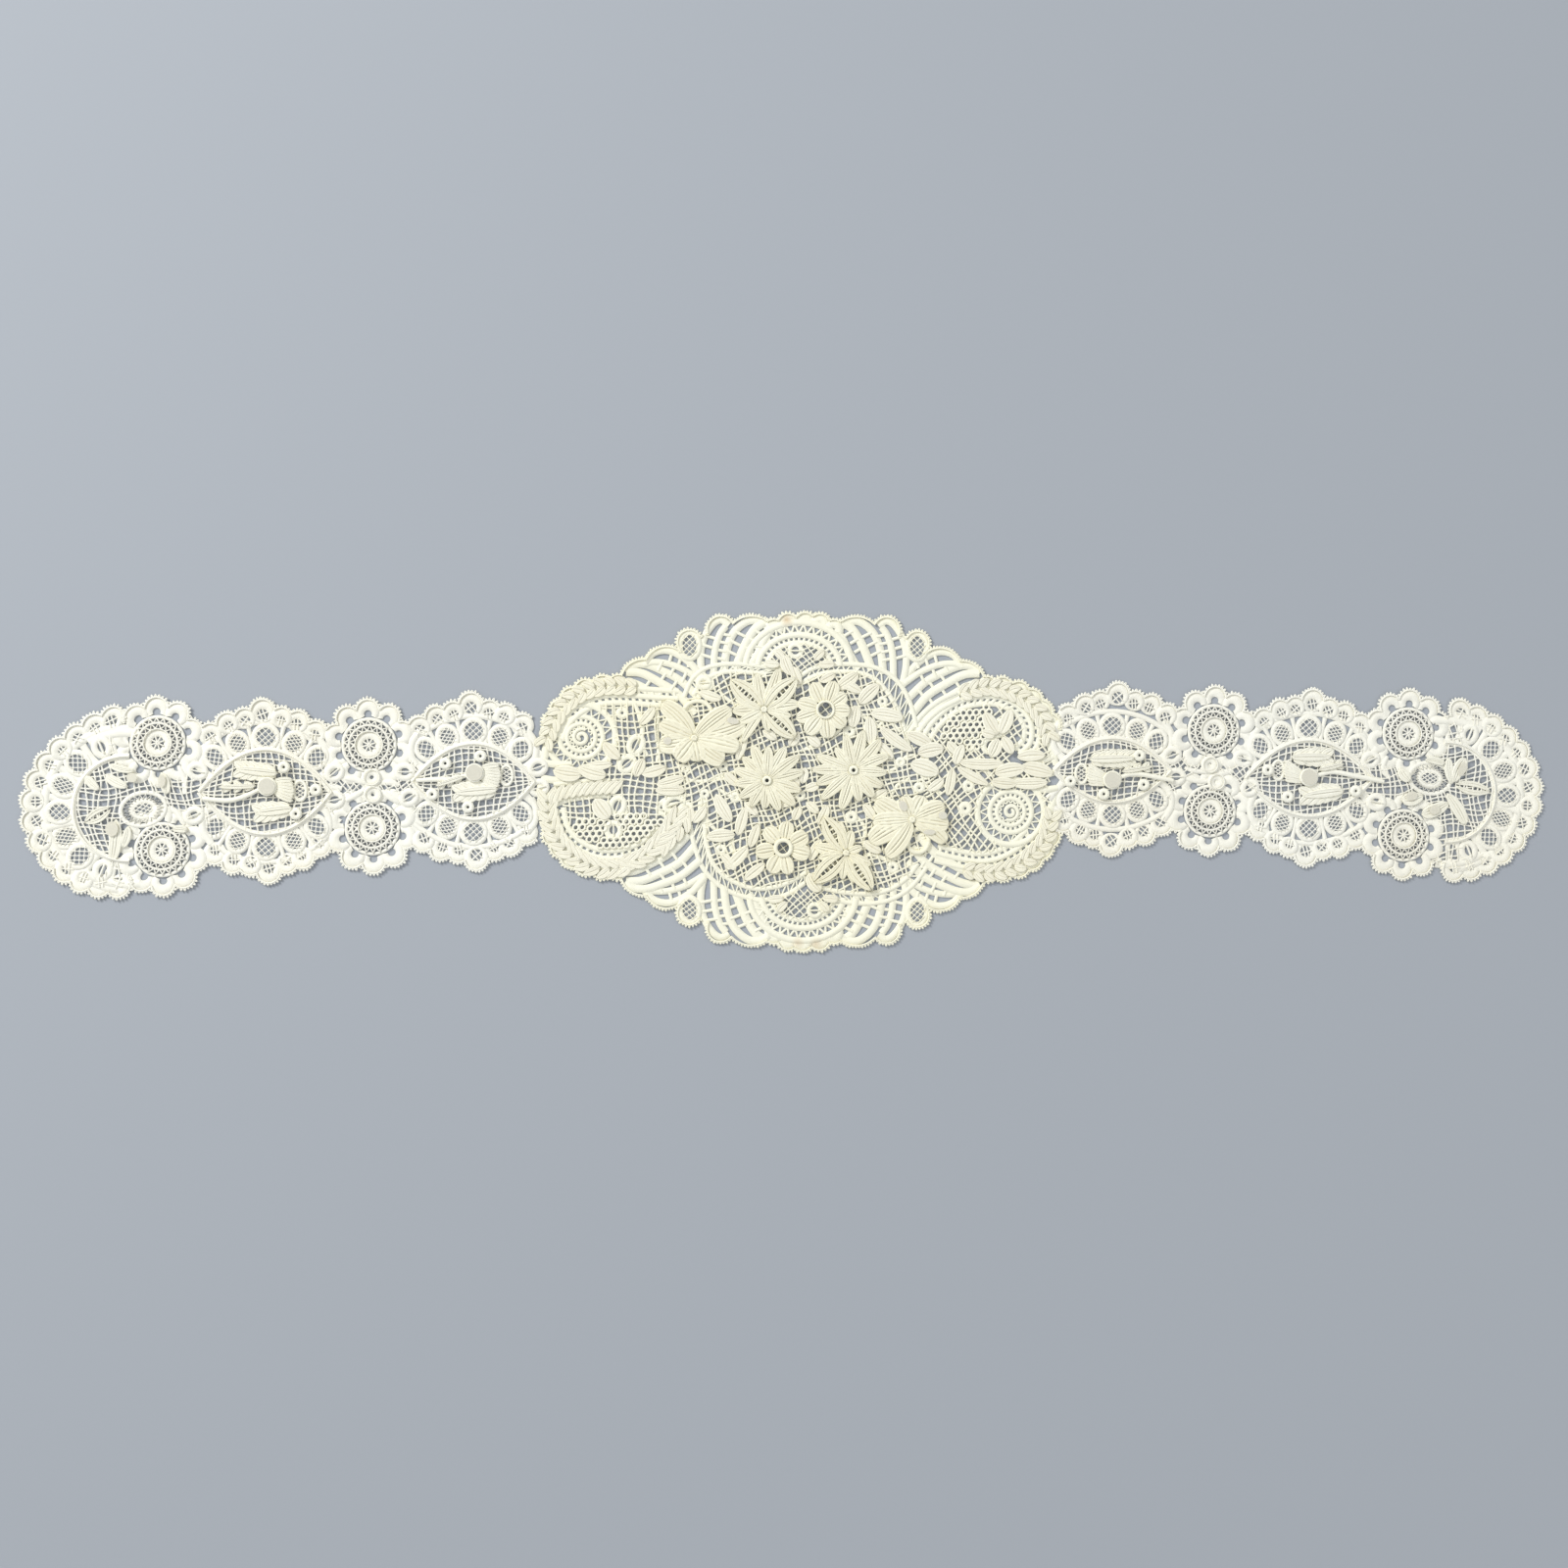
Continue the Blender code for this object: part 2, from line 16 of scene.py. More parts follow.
import bmesh
import bpy
import numpy as np
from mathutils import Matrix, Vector


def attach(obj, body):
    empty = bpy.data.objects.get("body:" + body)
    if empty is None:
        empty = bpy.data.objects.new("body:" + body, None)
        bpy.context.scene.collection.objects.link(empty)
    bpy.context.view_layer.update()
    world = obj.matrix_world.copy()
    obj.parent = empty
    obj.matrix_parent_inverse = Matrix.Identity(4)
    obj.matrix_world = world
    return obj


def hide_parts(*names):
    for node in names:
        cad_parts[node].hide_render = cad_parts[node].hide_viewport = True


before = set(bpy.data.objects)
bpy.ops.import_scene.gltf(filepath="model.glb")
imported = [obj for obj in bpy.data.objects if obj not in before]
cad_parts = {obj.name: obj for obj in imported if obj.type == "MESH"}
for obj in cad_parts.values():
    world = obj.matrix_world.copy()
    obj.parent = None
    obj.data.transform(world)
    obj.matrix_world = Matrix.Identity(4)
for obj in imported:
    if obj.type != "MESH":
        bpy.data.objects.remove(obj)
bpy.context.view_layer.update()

MM = 0.001
BEDDING = 0.6 * MM  # how far the middle of the cloth lies above the table
SOLE = 0.3 * MM  # below this height undersides ease towards the table and never reach it
SMOOTH_STEP = 1.3  # length of one straight piece of a smooth path, mm
BODY = "root"
LOG = logging.getLogger("bobbin_lace")

Points = np.ndarray
Placing = Callable[[Points], Points]


# ---------------------------------------------------------------- flat drawing


def smooth(points: Sequence[Sequence[float]]) -> Points:
    """Draw a smooth path through control points, mm."""
    p = np.asarray(points, float)
    p = np.vstack([2 * p[:1] - p[1:2], p, 2 * p[-1:] - p[-2:-1]])
    pieces = []
    for a, b, c, d in zip(p, p[1:], p[2:], p[3:]):
        count = max(2, int(math.ceil(float(np.linalg.norm(c - b)) / SMOOTH_STEP)))
        t = (np.arange(count) / count)[:, None]
        cubic = 2 * b + (c - a) * t + (2 * a - 5 * b + 4 * c - d) * t**2 + (3 * b - a - 3 * c + d) * t**3
        pieces.append(cubic / 2)
    return np.vstack([*pieces, p[-2:-1]])


def arc(x: float, y: float, radius: float, start: float, end: float, step: float = 1.15) -> Points:
    """Points on a circle from one angle to another, in degrees."""
    length = abs(math.radians(end - start)) * radius
    turn = np.radians(np.linspace(start, end, max(3, int(length / step) + 1)))
    return np.column_stack([x + radius * np.cos(turn), y + radius * np.sin(turn)])


def ellipse(
    x: float, y: float, half_x: float, half_y: float, turn: float = 0.0, step: float = 1.15
) -> Points:
    """Points round a turned ellipse, without the closing one."""
    count = max(8, int(math.pi * (half_x + half_y) / step))
    a = np.arange(count) * 2 * math.pi / count
    c, s = math.cos(math.radians(turn)), math.sin(math.radians(turn))
    px, py = half_x * np.cos(a), half_y * np.sin(a)
    return np.column_stack([x + px * c - py * s, y + px * s + py * c])


def normals(path: Points) -> Points:
    """Unit vectors to the left of each point of a path."""
    tangent = np.gradient(path, axis=0)
    tangent /= np.maximum(np.linalg.norm(tangent, axis=1), 1e-9)[:, None]
    return np.column_stack([-tangent[:, 1], tangent[:, 0]])


def offset(path: Points, distance: float | Points) -> Points:
    """A path moved to its left."""
    return path + normals(path) * np.reshape(distance, (-1, 1))


def along(path: Points, count: int, start: float = 0.0, end: float = 1.0) -> Points:
    """Evenly spaced points by length along a path.

    Args:
        path: The path to measure.
        count: How many points.
        start: Share of the length where they start.
        end: Share of the length where they end.

    Returns:
        The points.
    """
    steps = np.linalg.norm(np.diff(path, axis=0), axis=1)
    length = np.concatenate([[0.0], np.cumsum(steps)])
    at = np.linspace(start, end, count) * length[-1]
    return np.column_stack([np.interp(at, length, path[:, 0]), np.interp(at, length, path[:, 1])])


def path_length(path: Points) -> float:
    """Length of a path, mm."""
    return float(np.linalg.norm(np.diff(path, axis=0), axis=1).sum())


def ease(share: float | Points) -> float | Points:
    """Smoothstep of a share from 0 to 1."""
    share = np.clip(share, 0.0, 1.0)
    return share * share * (3 - 2 * share)


def golden(index: int) -> float:
    """A share from 0 to 1 that differs from its neighbours', so that no two tapes lie level."""
    return (index * 0.6180339887) % 1.0


def meeting(a: Sequence[float], b: Sequence[float], middle: Sequence[float]) -> tuple[float, float]:
    """Where two neighbouring scallops meet on the side away from the middle.

    Args:
        a: First scallop as x, y, radius.
        b: Second scallop as x, y, radius.
        middle: A point on the inner side.

    Returns:
        The meeting point.
    """
    dx, dy = b[0] - a[0], b[1] - a[1]
    span = math.hypot(dx, dy)
    run = (span * span + a[2] ** 2 - b[2] ** 2) / (2 * span)
    rise = math.sqrt(max(0.0, a[2] ** 2 - run * run))
    x, y = a[0] + dx / span * run, a[1] + dy / span * run
    ends = [(x - dy / span * rise, y + dx / span * rise), (x + dy / span * rise, y - dx / span * rise)]
    return max(ends, key=lambda p: math.hypot(p[0] - middle[0], p[1] - middle[1]))


class Stitch(Enum):
    """How a small filling is worked."""

    SQUARE = "square"
    DIAMOND = "diamond"
    HALF = "half"


NET_TURNS = {Stitch.SQUARE: (8.0, 98.0), Stitch.DIAMOND: (42.0, -46.0), Stitch.HALF: (33.0, -31.0)}
NET_PITCHES = {Stitch.SQUARE: 3.4, Stitch.DIAMOND: 2.3, Stitch.HALF: 1.75}
PEA_PITCH = 3.5


@dataclass
class Stroke:
    """One thread path: points (n, 3) and half widths (n), mm."""

    points: Points
    half: Points


@dataclass
class Patch:
    """A raised petal or leaf: a middle line (n, 3), its half widths (n), ribs and height, mm."""

    middle: Points
    half: Points
    ribs: int
    height: float
    groove: float = 0.5


@dataclass(frozen=True)
class Form:
    """How a petal or a leaf is raised.

    Attributes:
        height: Its rise, mm.
        blunt: How round its tip is, smaller is rounder.
        foot: How narrow its foot is, larger is narrower.
        lift: Height of its underside, mm.
        groove: Depth of the lines between its ribs, as a share.
    """

    height: float
    blunt: float
    foot: float
    lift: float
    groove: float = 0.5


LOBE = Form(0.8, 0.5, 0.35, 0.5, 0.4)
LOBED_LEAF = Form(1.1, 0.5, 0.4, 0.9, 0.4)
LOOSE_LEAF = Form(1.0, 0.62, 0.6, 0.5, 0.4)
GARLAND_LEAF = Form(0.9, 0.72, 0.5, 0.45, 0.36)
CROWN_LEAF = Form(0.9, 0.5, 0.5, 0.4, 0.3)
FAN_LEAF = Form(1.0, 0.45, 0.55, 0.5, 0.45)
FLOWER_HEART = Form(1.3, 0.4, 0.4, 0.9)
THISTLE_PETAL = Form(0.9, 0.35, 0.35, 0.7, 0.4)
FULLER = 1.15  # leaves are worked this much wider than they are drawn


class Cover:
    """A map of where cloth lies, so that strands of the ground end under it."""

    CELL = 0.5
    HALF_X = 404.0
    HALF_Y = 94.0
    TUCK = 0.5  # how far a strand may run in under an edge
    LEAST = 0.3  # a narrower disc hides nothing

    def __init__(self) -> None:
        """Start with an empty map."""
        self.map = np.zeros((int(2 * self.HALF_Y / self.CELL), int(2 * self.HALF_X / self.CELL)), bool)

    def mark(self, points: Points, half: Points) -> None:
        """Lay discs of cloth along a middle line, with a half width at each point."""
        for (x, y), radius in zip(points[:, :2], half):
            reach = radius - self.TUCK
            if reach < self.LEAST:
                continue
            low_x, low_y = (x - reach + self.HALF_X) / self.CELL, (y - reach + self.HALF_Y) / self.CELL
            count = int(2 * reach / self.CELL) + 2
            i, j = int(low_x), int(low_y)
            gx = (np.arange(i, i + count) + 0.5) * self.CELL - self.HALF_X - x
            gy = (np.arange(j, j + count) + 0.5) * self.CELL - self.HALF_Y - y
            self.map[j : j + count, i : i + count] |= gx[None, :] ** 2 + gy[:, None] ** 2 < reach * reach

    def close(self, x: float, y: float, half_x: float, half_y: float) -> None:
        """Keep the ground out of an ellipse."""
        gx = (np.arange(self.map.shape[1]) + 0.5) * self.CELL - self.HALF_X - x
        gy = (np.arange(self.map.shape[0]) + 0.5) * self.CELL - self.HALF_Y - y
        self.map |= (gx[None, :] / half_x) ** 2 + (gy[:, None] / half_y) ** 2 < 1

    def hides(self, points: Points) -> Points:
        """Which points lie under cloth."""
        i = ((points[:, 0] + self.HALF_X) / self.CELL).astype(int)
        j = ((points[:, 1] + self.HALF_Y) / self.CELL).astype(int)
        return self.map[np.clip(j, 0, self.map.shape[0] - 1), np.clip(i, 0, self.map.shape[1] - 1)]


def within(points: Points, outline: Points) -> Points:
    """Tell which points lie inside a closed outline.

    Args:
        points: Points in the plane.
        outline: The outline's points in order.

    Returns:
        One truth value a point.
    """
    x, y = points[:, 0], points[:, 1]
    odd = np.zeros(len(points), bool)
    for (x0, y0), (x1, y1) in zip(outline, np.roll(outline, -1, axis=0)):
        if y0 != y1:
            odd ^= ((y0 > y) != (y1 > y)) & (x < x0 + (y - y0) * (x1 - x0) / (y1 - y0))
    return odd


def unmoved(points: Points) -> Points:
    """Leave points where they are."""
    return points


@dataclass
class Pricking:
    """The pattern of one part of the lace, and where its thread lies."""

    cover: Cover
    place: Placing = unmoved
    tapes: list[Stroke] = field(default_factory=list)
    cords: list[Stroke] = field(default_factory=list)
    strands: list[Stroke] = field(default_factory=list)
    straps: list[Stroke] = field(default_factory=list)
    edges: list[Stroke] = field(default_factory=list)
    patches: list[Patch] = field(default_factory=list)
    sheer: list[tuple[float, float, float, float, float]] = field(default_factory=list)

    def at(self, place: Placing) -> Pricking:
        """The same pattern, drawn on through another placing."""
        return replace(self, place=place)

    def _stroke(self, path: Points, half: float | Points, height: float | Points, closed: bool) -> Stroke:
        """A placed stroke at a height; a closed one tucks its end under its start."""
        placed = self.place(np.asarray(path, float))
        halves = np.full(len(placed), half, float) if np.isscalar(half) else np.asarray(half, float)
        heights = np.full(len(placed), height, float) if np.isscalar(height) else np.asarray(height, float)
        if closed:
            placed, halves = np.vstack([placed, placed[:2]]), np.append(halves, halves[:2] * (0.97, 0.94))
            heights = np.append(heights, (height - 0.06, height - 0.12))
        return Stroke(np.column_stack([placed, heights]), halves)

    def tape(
        self,
        path: Points,
        width: float | Points,
        closed: bool = False,
        lift: float = 0.0,
        taper: float = 0.0,
    ) -> None:
        """Work a woven tape along a path.

        Args:
            path: Its middle line.
            width: Its width, mm.
            closed: Whether it is a ring.
            lift: Height of its underside.
            taper: Share of its width lost at each end.
        """
        half = width / 2
        if taper:
            share = np.linspace(-1, 1, len(path))
            half = half * (1 - taper * np.abs(share) ** 3)
        stroke = self._stroke(path, half, lift + 0.16 * golden(len(self.tapes)), closed)
        self.tapes.append(stroke)
        self.cover.mark(stroke.points, stroke.half)

    def cord(self, path: Points, radius: float, height: float, closed: bool = False) -> None:
        """Lay a round gimp cord on the cloth."""
        self.cords.append(self._stroke(path, radius, height, closed))

    def strand(self, path: Points, radius: float = 0.45, height: float = 0.36) -> None:
        """Plait a bar or a strand of the ground."""
        self.strands.append(self._stroke(path, radius, height, False))

    def strap(self, path: Points, half: float = 0.7) -> None:
        """Work a flat bar."""
        self.straps.append(self._stroke(path, half, 0.06 + 0.08 * golden(len(self.straps)), False))

    def edge(self, path: Points) -> None:
        """Mark an edge that carries picots on its right side."""
        self.edges.append(self._stroke(path, 0.3, 0.42, False))
        self.cord(path, 0.42, 0.46)

    def bars(self, left: Points, right: Points, count: int, zigzag: bool = False, half: float = 0.45) -> None:
        """Bars from one line to another.

        Args:
            left: Where the bars start.
            right: Where they end.
            count: How many.
            zigzag: Whether they lean to and fro.
            half: Half width of a bar.
        """
        pad = 0.5 / count
        starts, ends = along(left, count, pad, 1 - pad), along(right, count, pad, 1 - pad)
        if zigzag:
            turns = along(right, count, 2 * pad, 1.0)
            for start, turn, after in zip(starts, turns, [*starts[1:], starts[-1]]):
                self.strap(np.linspace(start, turn, 3), half)
                self.strap(np.linspace(turn, after, 3), half)
        else:
            for start, end in zip(starts, ends):
                self.strap(np.linspace(start, end, 3), half)

    def net(
        self,
        inside: Callable[[Points], Points],
        box: tuple[float, float, float, float],
        pitch: float,
        turns: Sequence[float],
        radius: float,
        wave: float = 0.25,
        hidden: bool = True,
    ) -> None:
        """Fill a region with a net of strands.

        Args:
            inside: Tells which points lie in the region.
            box: The region's x, y and half sizes.
            pitch: Distance between neighbouring strands.
            turns: Direction of each set of strands, degrees.
            radius: Radius of a strand.
            wave: How far a strand wanders.
            hidden: Whether strands under cloth are left out.
        """
        x, y, half_x, half_y = box
        reach = math.hypot(half_x, half_y)
        step = pitch / 3
        run = np.arange(-reach, reach, step)
        for index, turn in enumerate(turns):
            c, s = math.cos(math.radians(turn)), math.sin(math.radians(turn))
            for row in np.arange(-math.ceil(reach / pitch), math.ceil(reach / pitch) + 1):
                side = row * pitch + wave * (
                    np.sin(run / (2.3 * pitch) + 2.1 * row + x)
                    + 0.6 * np.sin(run / (1.1 * pitch) - 1.3 * row + y)
                )
                path = np.column_stack([x + run * c - side * s, y + run * s + side * c])
                sway = path[:, ::-1] / (2.1 * pitch) + path / (3.7 * pitch) + (0.4, 1.9)
                path = path + 2.4 * wave * np.sin(sway)
                away = np.abs(path - (x, y))
                keep = inside(path) & (away[:, 0] < half_x + pitch) & (away[:, 1] < half_y + pitch)
                placed = self.place(path)
                if hidden:
                    keep &= ~self.cover.hides(placed)
                knot = radius * (1.0 + 0.26 * np.cos(2 * math.pi * run / pitch))
                self._runs(path, keep, knot, 0.26 + 0.10 * index)

    def _runs(self, path: Points, keep: Points, half: Points, height: float) -> None:
        """Keep the stretches of a strand that are wanted."""
        start = None
        for k, wanted in enumerate([*keep, False]):
            if wanted and start is None:
                start = k
            elif not wanted and start is not None:
                low, high = max(0, start - 2), min(len(path), k + 2)
                count = high - low
                if count > 4:
                    nearest = np.minimum(np.arange(count), np.arange(count)[::-1])
                    sunk = np.clip(2.0 - nearest, 0.0, 2.0)
                    thinner = half[low:high] * (1 - 0.12 * sunk)
                    self.strands.append(self._stroke(path[low:high], thinner, height - 0.2 * sunk, False))
                start = None

    def pea_net(self, x: float, y: float, half_x: float, half_y: float) -> None:
        """Fill an ellipse with touching rings of thread.

        Args:
            x: Centre.
            y: Centre.
            half_x: Half length.
            half_y: Half height.
        """
        pitch, rise = PEA_PITCH, PEA_PITCH * 0.87
        rows, cols = int(half_y / rise), int(half_x / pitch) + 1
        for i in range(-rows, rows + 1):
            for j in range(-cols, cols + 1):
                stray = 0.8 * golden(7 * i + 3 * j + 100) - 0.4
                px, py = x + (j + 0.5 * (i % 2)) * pitch + stray, y + i * pitch * 0.87 - stray
                outside = ((px - x) / half_x) ** 2 + ((py - y) / half_y) ** 2 > 1
                if outside or self.cover.hides(self.place(np.array([[px, py]])))[0]:
                    continue
                ring = ellipse(px, py, 1.6 + 0.3 * stray, 1.58 - 0.3 * stray, 90.0 * stray, 1.1)
                self.cord(ring, 0.6, 0.3 + 0.24 * golden(11 * i + 5 * j + 200), True)

    def filling(
        self, x: float, y: float, half_x: float, half_y: float, stitch: Stitch, turn: float = 0.0
    ) -> None:
        """Fill an ellipse with a fine net.

        Args:
            x: Centre.
            y: Centre.
            half_x: Half length.
            half_y: Half height.
            stitch: How it is worked.
            turn: Its turn, degrees.
        """
        c, s = math.cos(math.radians(turn)), math.sin(math.radians(turn))

        def inside(points: Points) -> Points:
            """Which points lie in the ellipse, with a little over."""
            dx, dy = points[:, 0] - x, points[:, 1] - y
            ahead, across = (dx * c + dy * s) / (half_x + 0.6), (dy * c - dx * s) / (half_y + 0.6)
            return ahead**2 + across**2 < 1

        turns = [turn + t for t in NET_TURNS[stitch]]
        radius = 0.36 if stitch is Stitch.SQUARE else 0.29
        self.net(inside, (x, y, half_x, half_y), NET_PITCHES[stitch], turns, radius, 0.08, False)

    def ring(self, x: float, y: float, radius: float, width: float, lift: float = 0.1) -> None:
        """A small ring of tape that the ground stops at."""
        self.tape(ellipse(x, y, radius - width / 2, radius - width / 2, step=0.9), width, True, lift)
        self.stop(x, y, radius - 0.3)

    def stop(self, x: float, y: float, radius: float) -> None:
        """Keep the ground out of a round."""
        at = self.place(np.array([[x, y]]))[0]
        self.cover.close(at[0], at[1], radius, radius)

    def holed(
        self,
        centre: Points,
        radius: float,
        hub: Points,
        hole: float,
        turns: Points,
        lift: float = 0.0,
        closed: bool = True,
    ) -> None:
        """A round of cloth with an opening off its middle.

        Args:
            centre: Middle of the round.
            radius: Its radius.
            hub: Middle of the opening.
            hole: Radius of the opening.
            turns: Angles that it covers, radians.
            lift: Height of its underside.
            closed: Whether it goes all the way round.
        """
        rays = np.column_stack([np.cos(turns), np.sin(turns)])
        rim, inner = centre + rays * radius, hub + rays * hole
        self.tape((rim + inner) / 2, np.linalg.norm(rim - inner, axis=1), closed, lift)

    def loop(
        self, x: float, y: float, net_x: float, net_y: float, width: float, stitch: Stitch, turn: float = 0.0
    ) -> None:
        """A ring of tape round a fine net.

        Args:
            x: Centre.
            y: Centre.
            net_x: Half length of the net.
            net_y: Half height of the net.
            width: Width of the tape.
            stitch: How the net is worked.
            turn: The loop's turn, degrees.
        """
        self.tape(ellipse(x, y, net_x + width / 2, net_y + width / 2, turn), width, True, 0.08)
        self.filling(x, y, net_x, net_y, stitch, turn)

    def curl(self, x: float, y: float, turn: float, half_x: float = 4.0, half_y: float = 3.4) -> None:
        """A ring of tape with one bar along its opening.

        Args:
            x: Centre.
            y: Centre.
            turn: The way its bar lies, degrees.
            half_x: Half length of its middle line.
            half_y: Half height of its middle line.
        """
        self.tape(ellipse(x, y, half_x, half_y, turn), 3.1, True, 0.4)
        self.stop(x, y, min(half_x, half_y) + 1.1)
        c, s = (half_x - 0.6) * math.cos(math.radians(turn)), (half_x - 0.6) * math.sin(math.radians(turn))
        self.strand(np.linspace((x - c, y - s), (x + c, y + s), 4), 0.42, 0.85)

    def petal(
        self,
        base: Sequence[float],
        tip: Sequence[float],
        width: float,
        ribs: int,
        form: Form,
        bend: float = 0.0,
    ) -> None:
        """Raise a petal or a leaf.

        Args:
            base: Where it grows from.
            tip: Where it ends.
            width: Its greatest width.
            ribs: Raised ribs along it.
            form: How it is raised.
            bend: How far its middle bows to the left.
        """
        base, tip = np.asarray(base, float), np.asarray(tip, float)
        span = float(np.linalg.norm(tip - base))
        count = max(7, min(15, int(span / 1.15)))
        u = np.linspace(0.0, 1.0, count)
        side = np.array([-(tip - base)[1], (tip - base)[0]]) / span
        middle = base + (tip - base) * u[:, None] + side * (bend * 4 * u * (1 - u))[:, None]
        shape = np.power(np.clip(u, 0, 1), form.foot) * np.power(np.clip(1.0 - u, 0, 1), form.blunt)
        half = width / 2 * shape / shape.max()
        half = np.maximum(half, 0.12)
        placed = self.place(middle)
        low = np.full(count, form.lift + 0.22 * golden(len(self.patches)))
        self.patches.append(Patch(np.column_stack([placed, low]), half, ribs, form.height, form.groove))
        self.cover.mark(placed, half)

    def slit_leaf(
        self,
        base: Sequence[float],
        tip: Sequence[float],
        width: float,
        bars: int,
        gap: float = 1.5,
        lift: float = 0.5,
    ) -> None:
        """A leaf open along its middle, with bars across the opening.

        Args:
            base: Where it grows from.
            tip: Where it ends.
            width: Its greatest width.
            bars: Bars across the opening.
            gap: Width of the opening.
            lift: Height of its underside.
        """
        base, tip = np.asarray(base, float), np.asarray(tip, float)
        way = (tip - base) / np.linalg.norm(tip - base)
        side = np.array([-way[1], way[0]])
        for sign in (1, -1):
            shift = side * sign * gap * 0.3
            bow = sign * (width / 4 + gap * 0.25)
            form = Form(0.8, 0.6, 0.6, lift)
            self.petal(base + shift, tip + shift * 0.4, width / 2 - gap * 0.2, 2, form, bow)
        for k in range(bars):
            spot = base + (tip - base) * (0.25 + 0.5 * k / max(1, bars - 1))
            self.strand(np.linspace(spot - side * gap, spot + side * gap, 4), 0.45, lift + 0.1)

    def feather(self, base: Sequence[float], tip: Sequence[float], width: float, lobes: int) -> None:
        """A leaf cut into narrow lobes that lean towards its tip.

        Args:
            base: Where it grows from.
            tip: Where it ends.
            width: Its greatest width.
            lobes: Lobes along each side.
        """
        base, tip = np.asarray(base, float), np.asarray(tip, float)
        span = tip - base
        side = np.array([-span[1], span[0]]) / np.linalg.norm(span)
        for k in range(lobes):
            share = (k + 0.3) / lobes
            reach = width * (0.36 + 0.18 * math.sin(math.pi * share))
            for sign in (1, -1):
                root = base + span * share * 0.86
                end = root + span / np.linalg.norm(span) * width * 0.75 + side * sign * reach
                self.petal(root, end, width * 0.52, 2, LOBE, -0.3 * sign)
        self.petal(base, tip, width * 0.46, 2, LOBED_LEAF)

    def disc(self, x: float, y: float, half_x: float, half_y: float, turn: float = 0.0) -> None:
        """A sheer disc."""
        centre = self.place(np.array([[x, y]]))[0]
        self.sheer.append((float(centre[0]), float(centre[1]), half_x, half_y, turn))


# ---------------------------------------------------------------- making meshes


def in_scene(name: str, data: bpy.types.ID) -> bpy.types.Object:
    """A new object at the origin, linked to the scene."""
    made = bpy.data.objects.new(name, data)
    bpy.context.scene.collection.objects.link(made)
    return made


class NodeTree:
    """A node tree built in the script."""

    nodes: bpy.types.Nodes
    links: bpy.types.NodeLinks

    def node(self, kind: str, settings: dict | None = None, **links: object) -> bpy.types.Node:
        """Add a node.

        Args:
            kind: The node's type.
            settings: Properties that are set first.
            **links: Values or sockets by input name, with spaces as underscores.

        Returns:
            The node.
        """
        made = self.nodes.new(kind)
        for key, value in (settings or {}).items():
            setattr(made, key, value)
        for key, value in links.items():
            name = key.replace("_", " ")
            self.feed(next(s for s in made.inputs if s.name == name and s.enabled), value)
        return made

    def feed(self, socket: bpy.types.NodeSocket, value: object) -> None:
        """Link or set one input socket."""
        value = getattr(value, "socket", value)
        if isinstance(value, bpy.types.NodeSocket):
            self.links.new(value, socket)
        else:
            socket.default_value = value

    def result(self, operation: str, *values: object) -> bpy.types.NodeSocket:
        """A Math node's result."""
        made = self.nodes.new("ShaderNodeMath")
        made.operation = operation
        for socket, value in zip(made.inputs, values):
            self.feed(socket, value)
        return made.outputs[0]


class GeometryTree(NodeTree):
    """A Geometry Nodes tree with named inputs."""

    def __init__(self, name: str) -> None:
        """Start a tree with a geometry input and output."""
        self.group = bpy.data.node_groups.new(name, "GeometryNodeTree")
        self.group.is_modifier = True
        self.nodes, self.links = self.group.nodes, self.group.links
        face = self.group.interface
        face.new_socket("Geometry", in_out="OUTPUT", socket_type="NodeSocketGeometry")
        face.new_socket("Geometry", in_out="INPUT", socket_type="NodeSocketGeometry")
        self.entry = self.nodes.new("NodeGroupInput")
        self.exit = self.nodes.new("NodeGroupOutput")
        self.names: dict[str, str] = {}

    def input(self, name: str, kind: str) -> bpy.types.NodeSocket:
        """Add a named input of a socket type, and return it inside the tree."""
        made = self.group.interface.new_socket(name, in_out="INPUT", socket_type=kind)
        self.names[name] = made.identifier
        return self.entry.outputs[name]

    def vector(self, **parts: object) -> bpy.types.NodeSocket:
        """A vector of its parts X, Y and Z."""
        return self.node("ShaderNodeCombineXYZ", **parts).outputs[0]

    def apply(self, source: bpy.types.Object, name: str, values: dict[str, object]) -> bpy.types.Object:
        """Run the tree on an object and keep the result as a plain mesh.

        Args:
            source: The object that the tree reads, removed afterwards.
            name: Name of the piece.
            values: Values of the named inputs.

        Returns:
            The new piece.
        """
        modifier = source.modifiers.new("nodes", "NODES")
        modifier.node_group = self.group
        for key, value in values.items():
            modifier[self.names[key]] = value
        source.update_tag()
        bpy.context.view_layer.update()
        graph = bpy.context.evaluated_depsgraph_get()
        mesh = bpy.data.meshes.new_from_object(source.evaluated_get(graph), depsgraph=graph)
        mesh.name = name
        source.modifiers.remove(modifier)
        bpy.data.objects.remove(source)
        return in_scene(name, mesh)


def thread_curve(name: str, strokes: Iterable[Stroke]) -> bpy.types.Object:
    """One curve object with a straight-sided spline for each stroke, in metres."""
    curve = bpy.data.curves.new(name, "CURVE")
    curve.dimensions = "3D"
    for stroke in strokes:
        count = len(stroke.points)
        spline = curve.splines.new("POLY")
        spline.points.add(count - 1)
        flat = np.column_stack([stroke.points * MM, np.ones(count)])
        spline.points.foreach_set("co", flat.astype(np.float32).ravel())
        spline.points.foreach_set("radius", stroke.half.astype(np.float32))
    return in_scene(name + "_path", curve)


